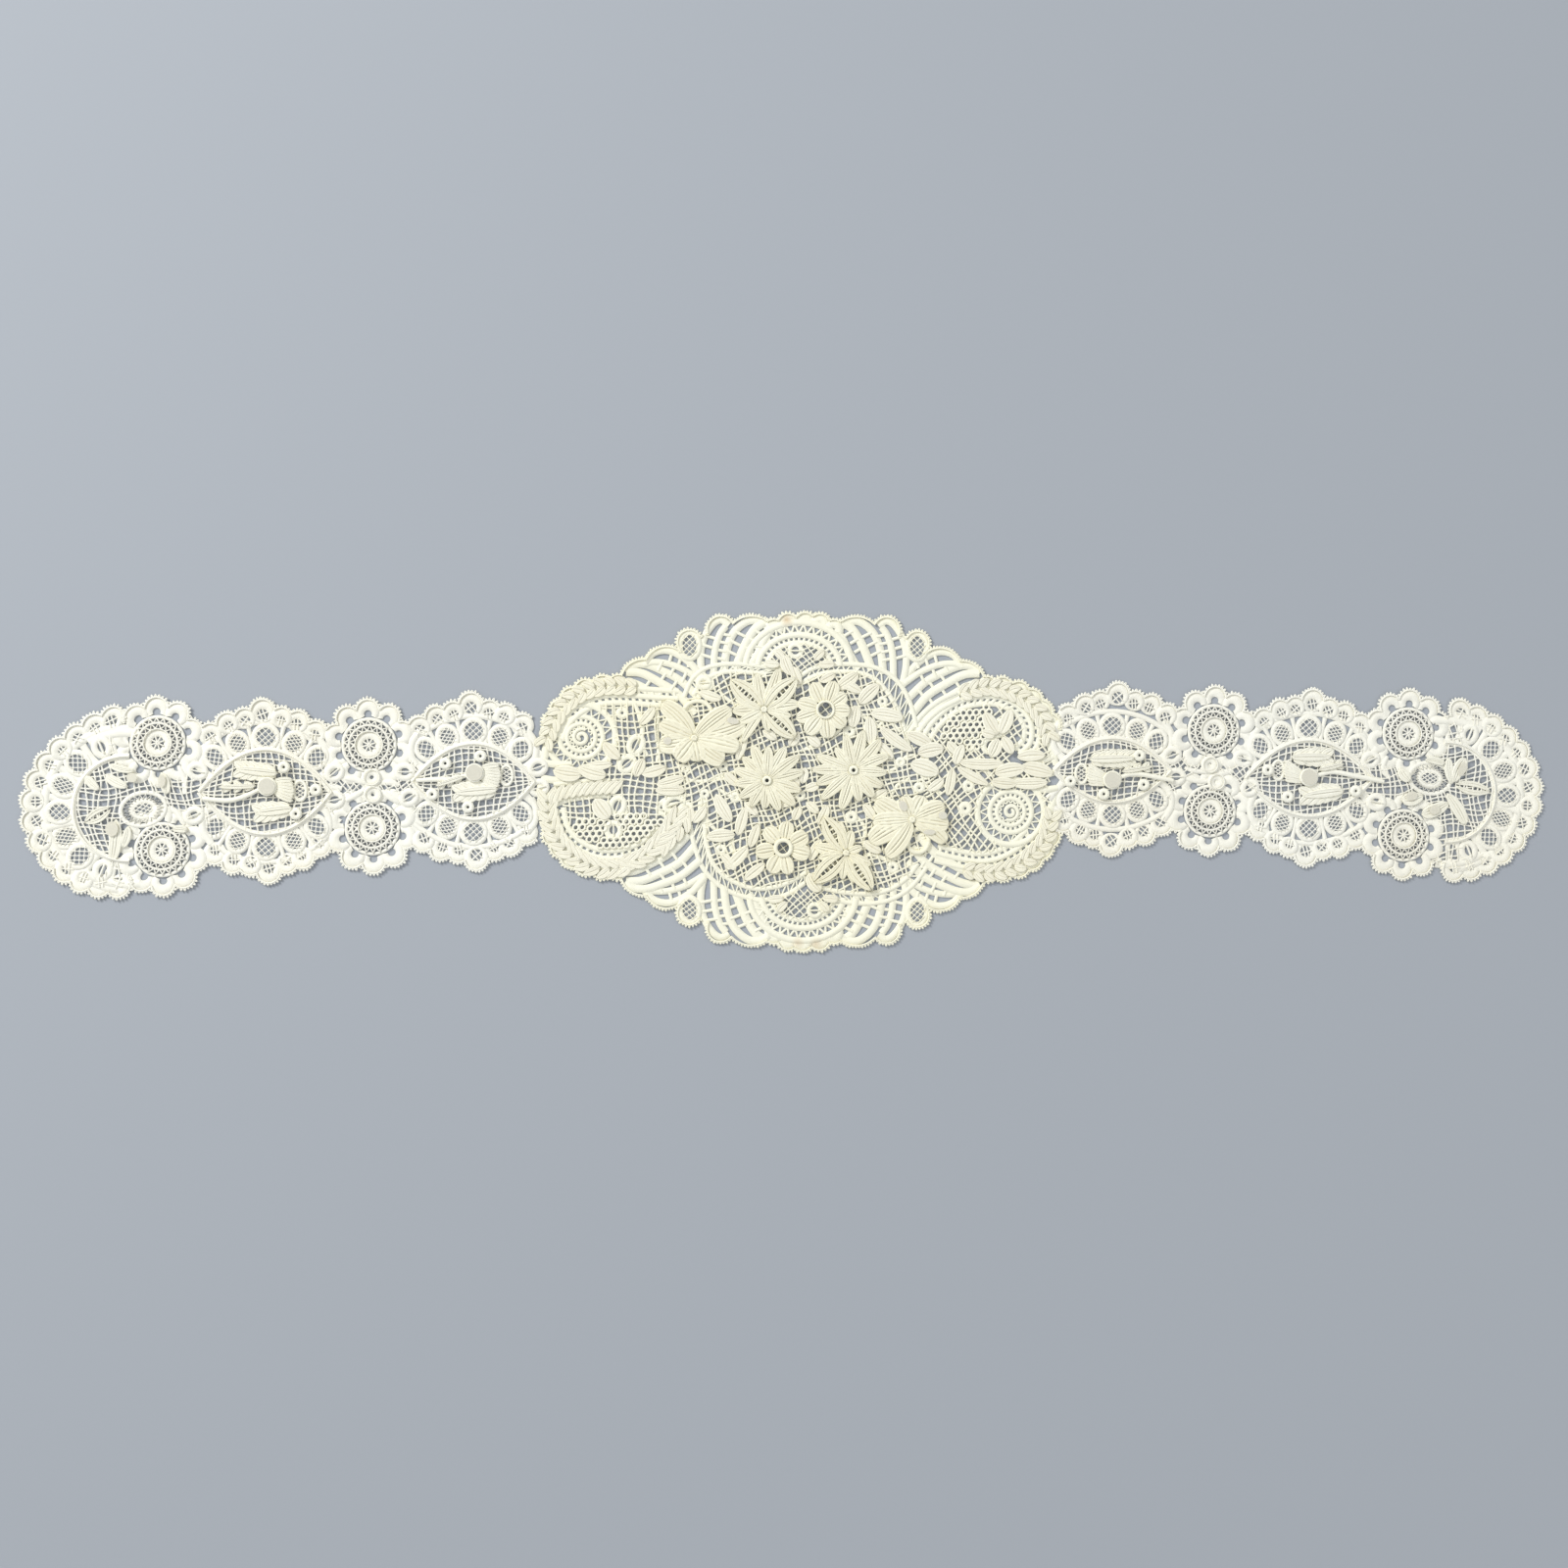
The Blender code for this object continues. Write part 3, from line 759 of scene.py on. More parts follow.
def profile_curve(name: str, points: Sequence[tuple[float, float]]) -> bpy.types.Object:
    """A closed cross-section drawn for a half width of 1 mm."""
    curve = bpy.data.curves.new(name, "CURVE")
    curve.dimensions = "3D"
    spline = curve.splines.new("POLY")
    spline.points.add(len(points) - 1)
    for slot, (x, y) in zip(spline.points, points):
        slot.co = (x * MM, y * MM, 0.0, 1.0)
    spline.use_cyclic_u = True
    return in_scene(name, curve)


TAPE_TOP = ((1.0, 0.26), (0.95, 0.66), (0.86, 0.78), (0.74, 0.62), (0.45, 0.72), (0.0, 0.70))
"""Right half of a tape's upper side: across, as a share of its half width, and height, mm."""


def tape_profile() -> list[tuple[float, float]]:
    """Cross-section of a tape: a flat back, a cord along each edge and a soft rise between them."""
    right = list(TAPE_TOP)
    left = [(-x, y) for x, y in reversed(right[:-1])]
    return [*right, *left, (-0.93, 0.0), (0.93, 0.0)]


def cord_profile(sides: int, flat: float = 1.0) -> list[tuple[float, float]]:
    """Cross-section of a round cord."""
    turns = [2 * math.pi * k / sides for k in range(sides)]
    return [(math.cos(t), math.sin(t) * flat) for t in turns]


GROOVE_AT = 0.68  # where a tape's painted groove shade is darkest, beside its edge cords, as a share of its half width
GROOVE_REACH = 0.16  # how far that painted shade reaches to each side


class SweepTree(GeometryTree):
    """Sweeps a cross-section along every path, scaled by the path's half width."""

    def __init__(self) -> None:
        """Build the tree."""
        super().__init__("thread_sweep")
        profile = self.input("Profile", "NodeSocketObject")
        material = self.input("Material", "NodeSocketMaterial")
        even = self.input("Even", "NodeSocketFloat")
        paths = self.node(
            "GeometryNodeSetCurveNormal", {"mode": "Z_UP"}, Curve=self.entry.outputs["Geometry"]
        )
        run = self.node("GeometryNodeCaptureAttribute", Geometry=paths.outputs["Curve"])
        run.capture_items.new("FLOAT", "run")
        run.capture_items.new("FLOAT", "half")
        run.capture_items.new("FLOAT", "low")
        spline = self.node("GeometryNodeSplineParameter")
        radius = self.node("GeometryNodeInputRadius")
        self.feed(run.inputs["run"], spline.outputs["Length"])
        self.feed(run.inputs["half"], radius.outputs[0])
        spot = self.node("GeometryNodeInputPosition")
        start = self.node("ShaderNodeSeparateXYZ", Vector=spot.outputs[0])
        self.feed(run.inputs["low"], start.outputs["Z"])
        shape = self.node("GeometryNodeObjectInfo", Object=profile)
        side = self.node("GeometryNodeCaptureAttribute", Geometry=shape.outputs["Geometry"])
        side.capture_items.new("FLOAT", "side")
        place = self.node("GeometryNodeInputPosition")
        split = self.node("ShaderNodeSeparateXYZ", Vector=place.outputs[0])
        self.feed(side.inputs["side"], split.outputs["X"])
        swept = self.node(
            "GeometryNodeCurveToMesh",
            Curve=run.outputs["Geometry"],
            Profile_Curve=side.outputs["Geometry"],
            Scale=run.outputs["half"],
            Fill_Caps=True,
        )
        there = self.node("ShaderNodeSeparateXYZ", Vector=place.outputs[0]).outputs["Z"]
        rise = self.result("SUBTRACT", there, run.outputs["low"])
        slim = self.result("SUBTRACT", self.result("DIVIDE", 1.0, run.outputs["half"]), 1.0)
        thin = self.result("MULTIPLY", slim, even)
        level = self.node("GeometryNodeSetPosition", Geometry=swept.outputs["Mesh"])
        self.feed(level.inputs["Offset"], self.vector(Z=self.result("MULTIPLY", rise, thin)))
        across = self.result("MULTIPLY", side.outputs["side"], run.outputs["half"])
        pair = self.vector(X=across, Y=run.outputs["run"])
        woven = self.node(
            "GeometryNodeStoreNamedAttribute",
            {"data_type": "FLOAT2", "domain": "CORNER"},
            Geometry=level.outputs["Geometry"],
            Name="weave",
            Value=pair,
        )
        # Painted shade: a darker band along each side of a swept thread, beside a tape's edge cords, stored
        # as shade for the finish.
        spread = self.result("ABSOLUTE", self.result("MULTIPLY", side.outputs["side"], 1.0 / MM))
        beside = self.result("ABSOLUTE", self.result("SUBTRACT", spread, GROOVE_AT))
        painted_groove_shade = self.result("SUBTRACT", 1.0, self.result("DIVIDE", beside, GROOVE_REACH))
        shaded = self.node(
            "GeometryNodeStoreNamedAttribute",
            {"data_type": "FLOAT", "domain": "POINT"},
            Geometry=woven.outputs[0],
            Name="shade",
            Value=self.result("MAXIMUM", painted_groove_shade, 0.0),
        )
        soft = self.node("GeometryNodeSetShadeSmooth", Geometry=shaded.outputs[0])
        real = self.node("GeometryNodeRealizeInstances", Geometry=soft.outputs[0])
        done = self.node("GeometryNodeSetMaterial", Geometry=real.outputs[0], Material=material)
        self.feed(self.exit.inputs[0], done.outputs[0])


class PicotTree(GeometryTree):
    """Sets a small loop of thread at even steps along every edge."""

    def __init__(self) -> None:
        """Build the tree."""
        super().__init__("picots")
        pitch = self.input("Pitch", "NodeSocketFloat")
        size = self.input("Size", "NodeSocketFloat")
        thread = self.input("Thread", "NodeSocketFloat")
        material = self.input("Material", "NodeSocketMaterial")
        spots = self.node(
            "GeometryNodeCurveToPoints",
            {"mode": "LENGTH"},
            Curve=self.entry.outputs["Geometry"],
            Length=pitch,
        )
        turned = self.node(
            "FunctionNodeAxesToRotation",
            {"primary_axis": "X", "secondary_axis": "Z"},
            Primary_Axis=spots.outputs["Tangent"],
            Secondary_Axis=Vector((0.0, 0.0, 1.0)),
        )
        bow = self.node(
            "GeometryNodeCurveQuadraticBezier",
            Resolution=4,
            Start=self.vector(X=self.result("MULTIPLY", size, -0.95), Y=self.result("MULTIPLY", size, 0.45)),
            Middle=self.vector(Y=self.result("MULTIPLY", size, -5.3)),
            End=self.vector(X=self.result("MULTIPLY", size, 0.95), Y=self.result("MULTIPLY", size, 0.45)),
        )
        dot = self.node("GeometryNodeCurvePrimitiveCircle", Resolution=4, Radius=thread)
        loop = self.node(
            "GeometryNodeCurveToMesh",
            Curve=bow.outputs["Curve"],
            Profile_Curve=dot.outputs["Curve"],
            Fill_Caps=True,
        )
        scale = self.node("FunctionNodeRandomValue", {"data_type": "FLOAT_VECTOR"})
        scale.inputs["Min"].default_value = (0.82, 0.78, 0.9)
        scale.inputs["Max"].default_value = (1.12, 1.2, 1.1)
        scale.inputs["Seed"].default_value = 7
        sewn = self.node(
            "GeometryNodeInstanceOnPoints",
            Points=spots.outputs["Points"],
            Instance=loop.outputs["Mesh"],
            Rotation=turned.outputs["Rotation"],
            Scale=scale.outputs["Value"],
        )
        real = self.node("GeometryNodeRealizeInstances", Geometry=sewn.outputs[0])
        soft = self.node("GeometryNodeSetShadeSmooth", Geometry=real.outputs[0])
        done = self.node("GeometryNodeSetMaterial", Geometry=soft.outputs[0], Material=material)
        self.feed(self.exit.inputs[0], done.outputs[0])


class ReliefMesh:
    """Gathers raised petals into one closed mesh with ribs and grooves."""

    def __init__(self) -> None:
        """Start with nothing."""
        self.points: list[Points] = []
        self.faces: list[tuple[int, ...]] = []
        self.shades: list[Points] = []
        self.weave: list[Points] = []
        self.count = 0

    RIM = ((1.0, 0.34), (0.95, 0.86), (0.84, 1.0), (0.70, 0.74))
    """Right edge of a petal: across and height, as shares."""

    def section(self, patch: Patch) -> tuple[Points, Points, Points]:
        """A petal's cross-section: a corded rim round a flat field with fine veins.

        Args:
            patch: The petal.

        Returns:
            Across, height and painted shade at each column, as shares; the shade is darkest in the veins and
            in the groove inside the rim.
        """
        veins = [-0.66 + 1.32 * (k + 1) / patch.ribs for k in range(patch.ribs - 1)]
        half = 0.20 / patch.ribs
        columns = {-x: (h, 0.0) for x, h in self.RIM} | {x: (h, 0.0) for x, h in self.RIM}
        # Painted shade: the groove inside the rim takes a little, each vein the most.
        columns[0.70], columns[-0.70] = (0.74, 0.34), (0.74, 0.34)
        for vein in veins:
            columns[vein - half], columns[vein + half] = (0.84, 0.0), (0.84, 0.0)
            columns[vein] = (0.84 - patch.groove, 1.0)
        for low, high in zip([-0.66, *veins], [*veins, 0.66]):
            columns[(low + high) / 2] = (0.88, 0.0)
        across = np.array(sorted(columns))
        facts = np.array([columns[x] for x in across])
        return across, facts[:, 0], facts[:, 1]

    def add(self, patch: Patch) -> None:
        """Add one petal: a corded and veined upper side on a flat back."""
        v, height, dark = self.section(patch)
        rows, cols = len(patch.middle), len(v)
        u = np.linspace(0.0, 1.0, rows)
        flat = patch.middle[:, :2]
        left = normals(flat)
        xy = flat[:, None, :] + left[:, None, :] * (patch.half[:, None] * v[None, :])[:, :, None]
        fade = np.clip(np.minimum(u / 0.10, (1 - u) / 0.22), 0.0, 1.0)[:, None]
        swell = np.sin(math.pi * np.clip(u, 0.04, 0.96))[:, None] ** 0.4
        dome = 0.78 + 0.22 * (1 - v[None, :] ** 2) * swell
        inner = np.abs(v)[None, :] < 0.68
        field_height = np.where(inner, height[None, :] * fade + 0.86 * (1 - fade), height[None, :])
        top = patch.height * (field_height * dome * (0.55 + 0.45 * swell))
        z = patch.middle[:, 2][:, None] + np.maximum(top, 0.10)
        self.points.append(np.dstack([xy, z[:, :, None]]).reshape(-1, 3))
        # Painted shade: veins and rim groove darken, and so do the petal's foot and tip; each petal's field
        # also takes a random tone of its own.
        plain = np.where(np.abs(v) < 0.68, 0.22 * golden(len(self.points)), 0.0)[None, :]
        shade = dark[None, :] * fade + plain + 0.22 * (1 - swell)
        self.shades.append(np.clip(shade, 0, 1).reshape(-1))
        run = u * path_length(flat)
        self.weave.append(
            np.dstack([patch.half[:, None] * v[None, :], np.repeat(run[:, None], cols, 1)]).reshape(-1, 2)
        )
        first = self.count

        def at(row: int, col: int) -> int:
            """Index of a point of the grid."""
            return first + row * cols + col

        for i in range(rows - 1):
            for j in range(cols - 1):
                self.faces.append((at(i, j), at(i + 1, j), at(i + 1, j + 1), at(i, j + 1)))
        rim = [at(0, j) for j in range(cols)] + [at(i, cols - 1) for i in range(1, rows)]
        rim += [at(rows - 1, j) for j in range(cols - 2, -1, -1)] + [at(i, 0) for i in range(rows - 2, 0, -1)]
        base = first + rows * cols
        under = np.array([[*self.points[-1][k - first][:2], patch.middle[0, 2]] for k in rim])
        self.points.append(under)
        # Painted shade: the petal's sides darken towards its underside.
        self.shades.append(np.full(len(rim), 0.6))
        self.weave.append(np.zeros((len(rim), 2)))
        total = len(rim)
        for k in range(total):
            n = (k + 1) % total
            self.faces.append((rim[k], rim[n], base + n, base + k))
        self.faces.append(tuple(base + k for k in range(total)))
        self.count = base + total

    def build(self, name: str, material: bpy.types.Material) -> bpy.types.Object:
        """Make the piece.

        Args:
            name: Its name.
            material: Its finish.

        Returns:
            The new object.
        """
        points = np.vstack(self.points) * MM
        mesh = bpy.data.meshes.new(name)
        mesh.from_pydata(points.tolist(), [], self.faces)
        shade = mesh.attributes.new("shade", "FLOAT", "POINT")
        shade.data.foreach_set("value", np.concatenate(self.shades).astype(np.float32))
        layer = mesh.uv_layers.new(name="weave")
        index = np.empty(len(mesh.loops), np.int32)
        mesh.loops.foreach_get("vertex_index", index)
        pairs = (np.vstack(self.weave) * MM)[index]
        layer.data.foreach_set("uv", pairs.astype(np.float32).ravel())
        mesh.polygons.foreach_set("use_smooth", np.ones(len(mesh.polygons), bool))
        mesh.materials.append(material)
        mesh.update()
        made = in_scene(name, mesh)
        outward(made)
        return made


def outward(obj: bpy.types.Object) -> None:
    """Turn a closed mesh's faces outwards."""
    work = bmesh.new()
    work.from_mesh(obj.data)
    bmesh.ops.recalc_face_normals(work, faces=work.faces)
    work.to_mesh(obj.data)
    work.free()


# ---------------------------------------------------------------- scalloped edges


@dataclass(frozen=True)
class Scallop:
    """One round of a scalloped edge."""

    x: float
    y: float
    radius: float
    width: float = 3.0
    bars: int = 3
    worked: bool = True


def scalloped_edge(
    pricking: Pricking, row: Sequence[Scallop], middle: Callable[[Scallop], tuple[float, float]], way: int
) -> None:
    """Work a row of scallops with their tape, Y-shaped bars and picot edge.

    Args:
        pricking: Where the thread goes.
        row: The scallops in order; the first and the last only lend their neighbours an end.
        middle: A point on the inner side of each.
        way: 1 when the row runs anticlockwise.
    """
    meets = [meeting((a.x, a.y, a.radius), (b.x, b.y, b.radius), middle(a)) for a, b in zip(row, row[1:])]
    for k, lobe in enumerate(row[1:-1]):
        start = math.degrees(math.atan2(meets[k][1] - lobe.y, meets[k][0] - lobe.x))
        end = math.degrees(math.atan2(meets[k + 1][1] - lobe.y, meets[k + 1][0] - lobe.x))
        turn = (way * (end - start)) % 360.0
        if turn > 300.0:
            continue
        trim = math.degrees(0.5 / lobe.radius)
        edge = arc(lobe.x, lobe.y, lobe.radius - 0.1, start + way * trim, start + way * (turn - trim), 0.8)
        pricking.edge(edge if way > 0 else edge[::-1])
        if not lobe.worked:
            continue
        if lobe.bars:
            eyelet(pricking, lobe, math.radians(start + way * turn / 2), k)
            continue
        reach = lobe.radius - lobe.width / 2
        spare = max(12.0, (235.0 - turn) / 2)
        band = arc(lobe.x, lobe.y, reach, start - way * spare, start + way * (turn + spare))
        pricking.tape(band, lobe.width)


def eyelet(pricking: Pricking, lobe: Scallop, out: float, index: int) -> None:
    """Work a scallop as a round with an opening on its inner side, parted by crossed bars.

    Args:
        pricking: Where the thread goes.
        lobe: The scallop.
        out: The way out from it, radians.
        index: Its number, which varies the opening.
    """
    centre, facing = np.array([lobe.x, lobe.y]), np.array([math.cos(out), math.sin(out)])
    hub = centre - facing * 0.30 * lobe.radius
    hole = lobe.radius * (0.42 + 0.10 * golden(index))
    pricking.holed(centre, lobe.radius, hub, hole, out + np.linspace(math.pi, 3 * math.pi, 21)[:-1])
    heading = out + 0.8 * golden(index)
    way = np.array([math.cos(heading), math.sin(heading)])
    side = np.array([-way[1], way[0]])
    spaces = np.linspace(-1.0, 1.0, lobe.bars + 1)[1:-1] * hole
    for ahead, across, shift in [(way, side, s) for s in spaces] + [(side, way, 0.12 * hole)]:
        half = math.sqrt(hole**2 - shift**2) + 0.1
        middle = hub + across * shift
        pricking.strand(np.linspace(middle - ahead * half, middle + ahead * half, 3), 0.42, 0.26)


# ---------------------------------------------------------------- medallion


@dataclass(frozen=True)
class Quarter:
    """One quarter of the medallion's border, and how much lower it is than the first."""

    sign_x: int
    sign_y: int
    loss: float

    def place(self, points: Points) -> Points:
        """Carry points of the first quarter to this one."""
        drop = 1.0 - self.loss * ease(np.abs(points[:, 0]) / 100.0)
        return np.column_stack([self.sign_x * points[:, 0], self.sign_y * points[:, 1] * drop])


QUARTERS = {
    "upper_right": Quarter(1, 1, 0.0),
    "upper_left": Quarter(-1, 1, 0.0),
    "lower_left": Quarter(-1, -1, 0.10),
    "lower_right": Quarter(1, -1, 0.06),
}
# Scallops of one quarter's edge: x, y, radius, whether its tape is worked as an arc, width of that tape
QUARTER_LOBES = (
    (0.5, 83.6, 5.4, True, 5), (8.3, 83, 5.4, True, 5), (15.8, 80.2, 5.2, True, 4.6),
    (27.5, 73, 14, False, 0), (43.7, 79.8, 7.1, False, 0), (60, 73.2, 6.3, False, 0),
    (72, 59.3, 11.5, False, 0), (84, 52.3, 11.7, False, 0), (97, 50.5, 5.4, True, 4.8),
    (105.3, 50, 5.5, True, 4.8), (114, 47.6, 5.7, True, 4.8), (121, 43.5, 5.7, True, 4.8),
    (126.5, 37.5, 5.7, True, 4.8), (130.5, 30.5, 5.7, True, 4.8),
)
# Tapes of one quarter's border: width, then control points from the rails outwards
QUARTER_TAPES = (
    (4, ((29, 59.5), (24.2, 67.5), (20.4, 75.5), (16.5, 80.5))),
    (4.6, ((36, 59), (32.4, 68.5), (29, 75.5), (25, 81), (20.8, 83.6))),
    (4.2, ((42, 57), (40.9, 67), (38.6, 75), (34.5, 81), (28.5, 84.6), (22, 83.9), (18.6, 81))),
    (3.7, ((47.4, 54.5), (46.8, 68), (44.2, 77), (41, 81.6))),
    (3.8, ((52, 50.5), (54, 61), (53.8, 70), (51.4, 77.5), (47.2, 83.2), (43.2, 84.8), (39.4, 82.2))),
    (3.8, ((52, 52.5), (59, 61.5), (67, 67.2), (73, 68.8), (79, 67.2), (83.2, 62.6))),
    (3.4, ((53, 52), (62, 58.2), (71, 61.8), (79, 62.6), (84, 61))),
    (4.2, ((54.5, 43.5), (64.5, 52.8), (74, 58), (82, 61.2), (88.4, 61.4), (93.6, 58))),
    (4.4, ((57, 35.5), (65.5, 45.6), (76, 52.3), (85, 56.8), (93, 57.4))),
    (4.6, ((60.5, 29), (70, 39.8), (81, 47.3), (90, 51.6), (96.5, 51))),
)
# Openings between those tapes, crossed by bars: x0, y0, x1, y1, bow, width, openings
BORDER_SLOTS = (
    (57, 50.8, 82, 62.4, 1.7, 3, 4), (57, 41.8, 80, 58, 0.8, 2.8, 4), (61.5, 36.3, 89, 55.5, 1.3, 2.6, 4),
    (51, 60.6, 45.2, 80, -2.3, 3.4, 4), (38.6, 62, 29, 81.4, -2.5, 3.2, 4),
    (30.3, 64.5, 20, 82, -1.6, 2.3, 4), (43.2, 60, 38.6, 81, -1.7, 1.6, 5),
    (55.5, 59.8, 75, 65.4, 1.2, 1.7, 4),
)
# Double rails: inner line, outer line, bars
RAILS = (
    (
        (
            (-4, 50), (4.5, 55.3), (14, 57.8), (24, 58), (32, 56.8), (39, 53), (45, 46), (50, 37),
            (53.5, 27), (55.5, 18.5),
        ),
        (
            (-3, 55), (5, 59.8), (15, 61.8), (25, 62), (34, 61.2), (42, 58.6), (48.5, 54), (53.5, 47.5),
            (57.5, 38), (59.5, 29),
        ),
        15,
    ),
    (
        (
            (-52.5, -7), (-52, -18), (-51.5, -30), (-48.5, -41), (-42.5, -48.5), (-34, -53.5), (-25, -56),
            (-14, -54.8), (-5, -51.2), (2.5, -46.5),
        ),
        (
            (-60, -21), (-57.5, -33), (-53.5, -44), (-47, -52), (-38.5, -57.6), (-28, -61), (-18, -61.6),
            (-8, -58.6), (0.5, -53),
        ),
        17,
    ),
    (
        ((-58, 45.5), (-54, 51.5), (-48, 55.8), (-40, 57.8), (-30, 57.6), (-19.7, 56.6)),
        ((-63, 44.5), (-58.5, 54), (-51, 59.8), (-40, 61.8), (-28, 61.4), (-17, 60), (-8, 58.5)), 9,
    ),
    (
        ((8, -55.2), (18, -57.6), (29, -58.8), (39, -58.4), (47.5, -55.6), (55, -50), (60.5, -43)),
        ((12, -61.2), (22, -63.2), (34, -64), (44, -62.6), (52.5, -58.6), (59, -53), (65, -45)), 10,
    ),
)
# Rings of the ground, with a bead-sized opening: x, y, radius
PEAS = (
    (87.3, -2, 3.4), (85.5, -14, 3.9), (51, 10.5, 2.8), (25, -18.5, 3.6), (41.5, 42.5, 2.9),
    (-50, 50.4, 2.8), (-52.1, -6.2, 2.8), (-95, 36, 3.4), (-43.5, -35.5, 3), (-61, -13.5, 3.3),
    (61, -3, 3.2), (-36, -8, 3), (-62, 7, 2.4), (-42.5, 8.2, 2.8), (-2, -7.2, 3), (47, -45, 3.4),
    (24, 26.5, 3.4),
)


@dataclass(frozen=True)
class Flower:
    """One raised flower.

    Attributes:
        node: The solid it stands for.
        x: Centre.
        y: Centre.
        foot: How far from the centre its petals start.
        petals: Direction, reach, width, veined fields and bend of each petal.
        slits: Direction, reach, width and bars of each leaf with an open vein.
        blunt: How round the tips of its petals are, smaller is rounder.
        heart: Outer radius and width of the ring at its centre.
        windows: Rings of tape round a net: x, y, half length, half height, turn.
        discs: Sheer patches: x, y, half length, half height, turn.
    """

    node: str
    x: float
    y: float
    foot: float
    petals: tuple[tuple[float, float, float, int, float], ...]
    slits: tuple[tuple[float, float, float, int], ...] = ()
    blunt: float = 0.36
    heart: tuple[float, float] = (1.8, 1.3)
    windows: tuple[tuple[float, float, float, float, float], ...] = ()
    discs: tuple[tuple[float, float, float, float, float], ...] = ()

    def draw(self, ground: Pricking) -> Pricking:
        """Draw its petals into a pattern of their own, over the ground's map.

        Args:
            ground: The pattern of the cloth it lies on.

        Returns:
            The flower's pattern.
        """
        own = Pricking(ground.cover)
        for turn, reach, width, fields, bend in self.petals:
            c, s = math.cos(math.radians(turn)), math.sin(math.radians(turn))
            root = (self.x + self.foot * c, self.y + self.foot * s)
            tip = (self.x + reach * c, self.y + reach * s)
            own.petal(root, tip, width, fields, Form(1.25, self.blunt, 0.5, 0.75, 0.34), bend)
        for turn, reach, width, bars in self.slits:
            c, s = math.cos(math.radians(turn)), math.sin(math.radians(turn))
            tip = (self.x + reach * c, self.y + reach * s)
            own.slit_leaf((self.x + c, self.y + s), tip, width, bars, 2.0, 1.3)
        own.ring(self.x, self.y, *self.heart, 1.0)
        if self.heart[0] < 2.0:
            own.petal((self.x - 1.6, self.y), (self.x + 1.6, self.y), 2.6, 1, FLOWER_HEART)
        if self.heart[0] > 3.0:
            inner = self.heart[0] - self.heart[1]
            ground.filling(self.x, self.y, inner, inner, Stitch.SQUARE, 30.0)
        for x, y, half_x, half_y, turn in self.windows:
            own.tape(ellipse(x, y, half_x + 0.9, half_y + 0.9, turn), 2.2, True, 0.1)
        for x, y, half_x, half_y, turn in self.discs:
            own.disc(x, y, half_x, half_y, turn)
        return own


